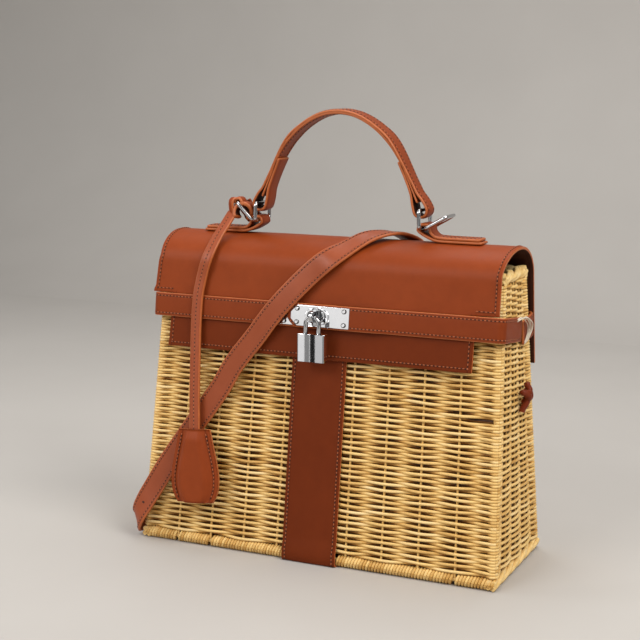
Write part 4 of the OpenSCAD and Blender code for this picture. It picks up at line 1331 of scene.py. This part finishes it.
# waxed threads over the front belt's end and down to the back belt
tieSettings = {"threads": 4, "radius": 0.42}


def makeTie(s, side):
    x = sideX + bag["beltT"] + 0.75
    route = [(-8.5, 184.4, -1.2), (-6.0, 185.2, 0.35), (0.5, 184.6, 0.8), (7.0, 181.6, 1.0)]
    route += [(11.6, 177.6, 0.9), (13.0, 173.2, 0.6), (12.0, 168.4, 0.0), (10.8, 166.0, -0.9)]
    lines = []
    for k in range(s["threads"]):
        line = []
        for i, (y, z, out) in enumerate(route):
            bow = math.sin(math.pi * i / (len(route) - 1)) * k
            w = math.sin(1.7 * i + 2.1 * k)
            height = z + 0.75 * bow + 0.4 * w - 0.5 * k
            line.append((side * (x + out + 1.05 * bow), y + 0.6 * bow + 0.5 * w, height))
        lines.append(smoothLine(line, 0.8))
    name = "left_tie" if side < 0 else "right_tie"
    tie = tubes(name + "_thread", lines, s["radius"], waxed, 7)
    finishPiece(tie, "bag", [name])


for side in (-1, 1):
    makeSideKnot(sideKnotSettings, side)
    makeTie(tieSettings, side)
print("knots and ties made")

# polished metal: the solids with their edges broken, and rivets with raised heads
metalSettings = {
    "edge": 0.28, "sharp": 30, "flatSharp": 12, "rivet": 1.5, "rivetX": (-16.0, 21.0), "leftRivetX": -27.5,
}


def polish(name, body, s, finish, sharp="sharp"):
    source = nodes[name]
    mesh = source.data.copy()
    mesh.transform(source.matrix_world)
    shape = bmesh.new()
    shape.from_mesh(mesh)
    bmesh.ops.remove_doubles(shape, verts=shape.verts, dist=1e-6)
    shape.to_mesh(mesh)
    shape.free()
    mesh.polygons.foreach_set("use_smooth", np.full(len(mesh.polygons), True))
    mesh.materials.clear()
    mesh.materials.append(finish)
    obj = bpy.data.objects.new(name + "_polished", mesh)
    bpy.context.scene.collection.objects.link(obj)
    edge = obj.modifiers.new("edge", "BEVEL")
    edge.width = s["edge"] * 0.001
    edge.segments = 2
    edge.limit_method = "ANGLE"
    edge.angle_limit = math.radians(40)
    bake(obj)
    obj.data.set_sharp_from_angle(angle=math.radians(s[sharp]))
    finishPiece(obj, body, [name])


def rivetTree():
    tree, g, start, ids = treeWith(
        "rivets",
        [
            ("Radius", "NodeSocketFloat", 0.0015), ("Finish", "NodeSocketMaterial", None),
            ("Joint", "NodeSocketMaterial", None),
        ],
    )
    points = g.add("GeometryNodeMeshToPoints", {}, {0: start})
    # a dark ring under each head: painted shade in the joint
    joint = g.add("GeometryNodeMeshCylinder", {}, {"Vertices": 24, "Radius": 1.16, "Depth": 0.34})
    dark = g.add("GeometryNodeSetMaterial", {}, {"Geometry": joint, "Material": start.out("Joint")})
    head = g.add(
        "GeometryNodeMeshCone", {},
        {"Vertices": 24, "Radius Top": 0.72, "Radius Bottom": 0.92, "Depth": 0.62},
    )
    bright = g.add("GeometryNodeSetMaterial", {}, {"Geometry": head, "Material": start.out("Finish")})
    both = g.add("GeometryNodeJoinGeometry", {}, {0: dark})
    g.tree.links.new(bright.socket, both.socket.node.inputs[0])
    size = g.add("ShaderNodeCombineXYZ", {}, {axis: start.out("Radius") for axis in range(3)})
    turn = (math.radians(90) - tilt, 0.0, 0.0)
    laid = g.add(
        "GeometryNodeInstanceOnPoints", {},
        {"Points": points, "Instance": both, "Rotation": turn, "Scale": size},
    )
    whole = g.add("GeometryNodeRealizeInstances", {}, {0: laid})
    g.add("NodeGroupOutput", {}, {0: whole})
    return tree, ids


def makeMetal(s):
    for name in ("left_plate", "right_plate"):
        polish(name, "bag", s, chrome, "flatSharp")
    for name in ("lock_post", "left_handle_ring", "right_handle_ring", "left_strap_ring"):
        polish(name, "bag", s, darkReflectionChrome)
    polish("turn_knob", "knob", s, darkReflectionChrome)
    polish("shackle", "hanging_shackle", s, darkReflectionChrome)
    polish("padlock_body", "padlock", s, lockChrome, "flatSharp")
    polish("right_strap_ring", "free_ring", s, darkReflectionChrome)
    mid = bag["beltZ"] / math.cos(tilt) + bag["beltH"] / 2
    up = bag["beltH"] / 2 - 1.25 - 2.6
    upper = rightBeltO + bag["beltT"] + 0.05 + bag["plateT"] + 0.3
    spots = [onFront(x, -upper, mid + q * up) for x in s["rivetX"] for q in (-1, 1)]
    spots += [onFront(s["leftRivetX"], -leftPlateO - bag["plateT"] - 0.3, mid + q * up) for q in (-1, 1)]
    tree, ids = rivetTree()
    values = {"Radius": s["rivet"] * 0.001, "Finish": chrome, "Joint": jointShade}
    rivets = runTree(linesMesh("plate_rivet_heads", [spots]), tree, ids, values)
    finishPiece(rivets, "bag", ["plate_rivets"])


makeMetal(metalSettings)
print("metal made")

# saddle stitching along every seam
sewingSettings = {"spacing": 2.9, "length": 1.75, "hole": 1.25, "thickness": 0.8}


def sewSeams(s):
    for body, lines in stitchRuns.items():
        obj = linesMesh("stitching_" + body, [line for line in lines if len(line) > 1])
        values = {label: s[label.lower()] * 0.001 for label in ("Spacing", "Length", "Hole", "Thickness")}
        runTree(obj, stitches, stitchIds, {**values, "Finish": sewing, "Dark": holeShade})
        finishPiece(obj, body)


sewSeams(sewingSettings)
print("seams sewn")

# plain floor and soft light
stageSettings = {"floor": (0.475, 0.455, 0.43), "wall": (0.43, 0.41, 0.387)}


def makeStage(s):
    profile = [(-0.75, 0.0), (0.9, 0.0)]
    for q in range(0, 91, 15):
        profile.append((0.9 + 0.5 * math.sin(math.radians(q)), 0.5 - 0.5 * math.cos(math.radians(q))))
    profile.append((1.4, 2.6))
    verts, faces = [], []
    for y, z in profile:
        verts += [(-3000, y * 1000, z * 1000), (3000, y * 1000, z * 1000)]
    for i in range(len(profile) - 1):
        faces.append((2 * i, 2 * i + 1, 2 * i + 3, 2 * i + 2))
    mat, g, shader = newMaterial("paleFloor", {"Roughness": 0.7})
    grain = cloud(g, objectPlace(g), 6.0, 3.0)
    colour = blend(g, grain, (*s["wall"], 1), (*s["floor"], 1))
    plug(g, shader, "Base Color", colour)
    floor = newPiece("floor", verts, faces, [mat])


def addLight(name, place, aim, size, power, colour):
    data = bpy.data.lights.new(name, "AREA")
    data.shape = "RECTANGLE"
    data.size, data.size_y = size
    data.energy = power
    data.color = colour
    lamp = bpy.data.objects.new(name, data)
    bpy.context.scene.collection.objects.link(lamp)
    lamp.location = place
    lamp.rotation_euler = (Vector(aim) - Vector(place)).to_track_quat("-Z", "Y").to_euler()


makeStage(stageSettings)
addLight("key", (0.95, -0.45, 1.2), (0.0, 0.0, 0.12), (0.8, 0.8), 17.0, (1.0, 0.97, 0.93))
addLight("fill", (-0.55, -1.1, 0.98), (0.0, 0.0, 0.14), (0.9, 0.5), 8.5, (1.0, 0.98, 0.96))
addLight("window", (-0.95, -0.30, 0.62), (-0.1, 0.0, 0.2), (0.35, 0.7), 2.0, (1.0, 0.99, 0.98))
addLight("top", (-0.1, 0.4, 1.4), (0.0, 0.0, 0.15), (1.0, 0.8), 9.0, (1.0, 0.98, 0.96))


# a soft room, darker below, with a few upright bands for the metal to mirror
roomSettings = {
    "plain": (0.44, 0.42, 0.40),
    "bands": [
        (0.0, 0.46), (0.30, 0.12), (0.36, 0.46), (0.41, 1.0), (0.472, 0.30), (0.496, 0.75), (0.5, 0.02),
        (0.521, 0.7), (0.56, 0.30), (0.60, 0.08), (0.68, 0.46), (0.86, 0.18), (0.93, 0.46),
    ],
    "height": [
        (0.0, (0.25, 0.24, 0.23)), (0.48, (0.8, 0.78, 0.76)),
        (0.6, (1.0, 0.98, 0.95)), (1.0, (1.0, 0.99, 0.97)),
    ],
}


def makeSurroundings(s):
    world = bpy.data.worlds.new("softRoom")
    bpy.context.scene.world = world
    world.use_nodes = True
    world.node_tree.nodes.clear()
    g = Graph(world.node_tree)
    way = g.add("ShaderNodeTexCoord", {}, {}, "Generated")
    x, y, z = (g.add("ShaderNodeSeparateXYZ", {}, {0: way}, name) for name in "XYZ")
    turn = x.maths("ARCTAN2", -1.0 * y) * (0.5 / math.pi) + 0.5
    ring = g.add("ShaderNodeValToRGB", {"stops": [(at, (v, v, v)) for at, v in s["bands"]]}, {0: turn})
    ring.socket.node.color_ramp.interpolation = "CONSTANT"
    height = g.add("ShaderNodeValToRGB", {"stops": s["height"]}, {0: z * 0.5 + 0.5})
    mixed = blend(g, 1.0, ring, height, "MULTIPLY")
    seen = g.add("ShaderNodeLightPath", {}, {}, "Is Camera Ray")
    shown = blend(g, seen, mixed, (*s["plain"], 1))
    light = g.add("ShaderNodeBackground", {}, {"Color": shown, "Strength": 1.0})
    g.add("ShaderNodeOutputWorld", {}, {"Surface": light})


makeSurroundings(roomSettings)
print("stage set")

bpy.context.view_layer.update()
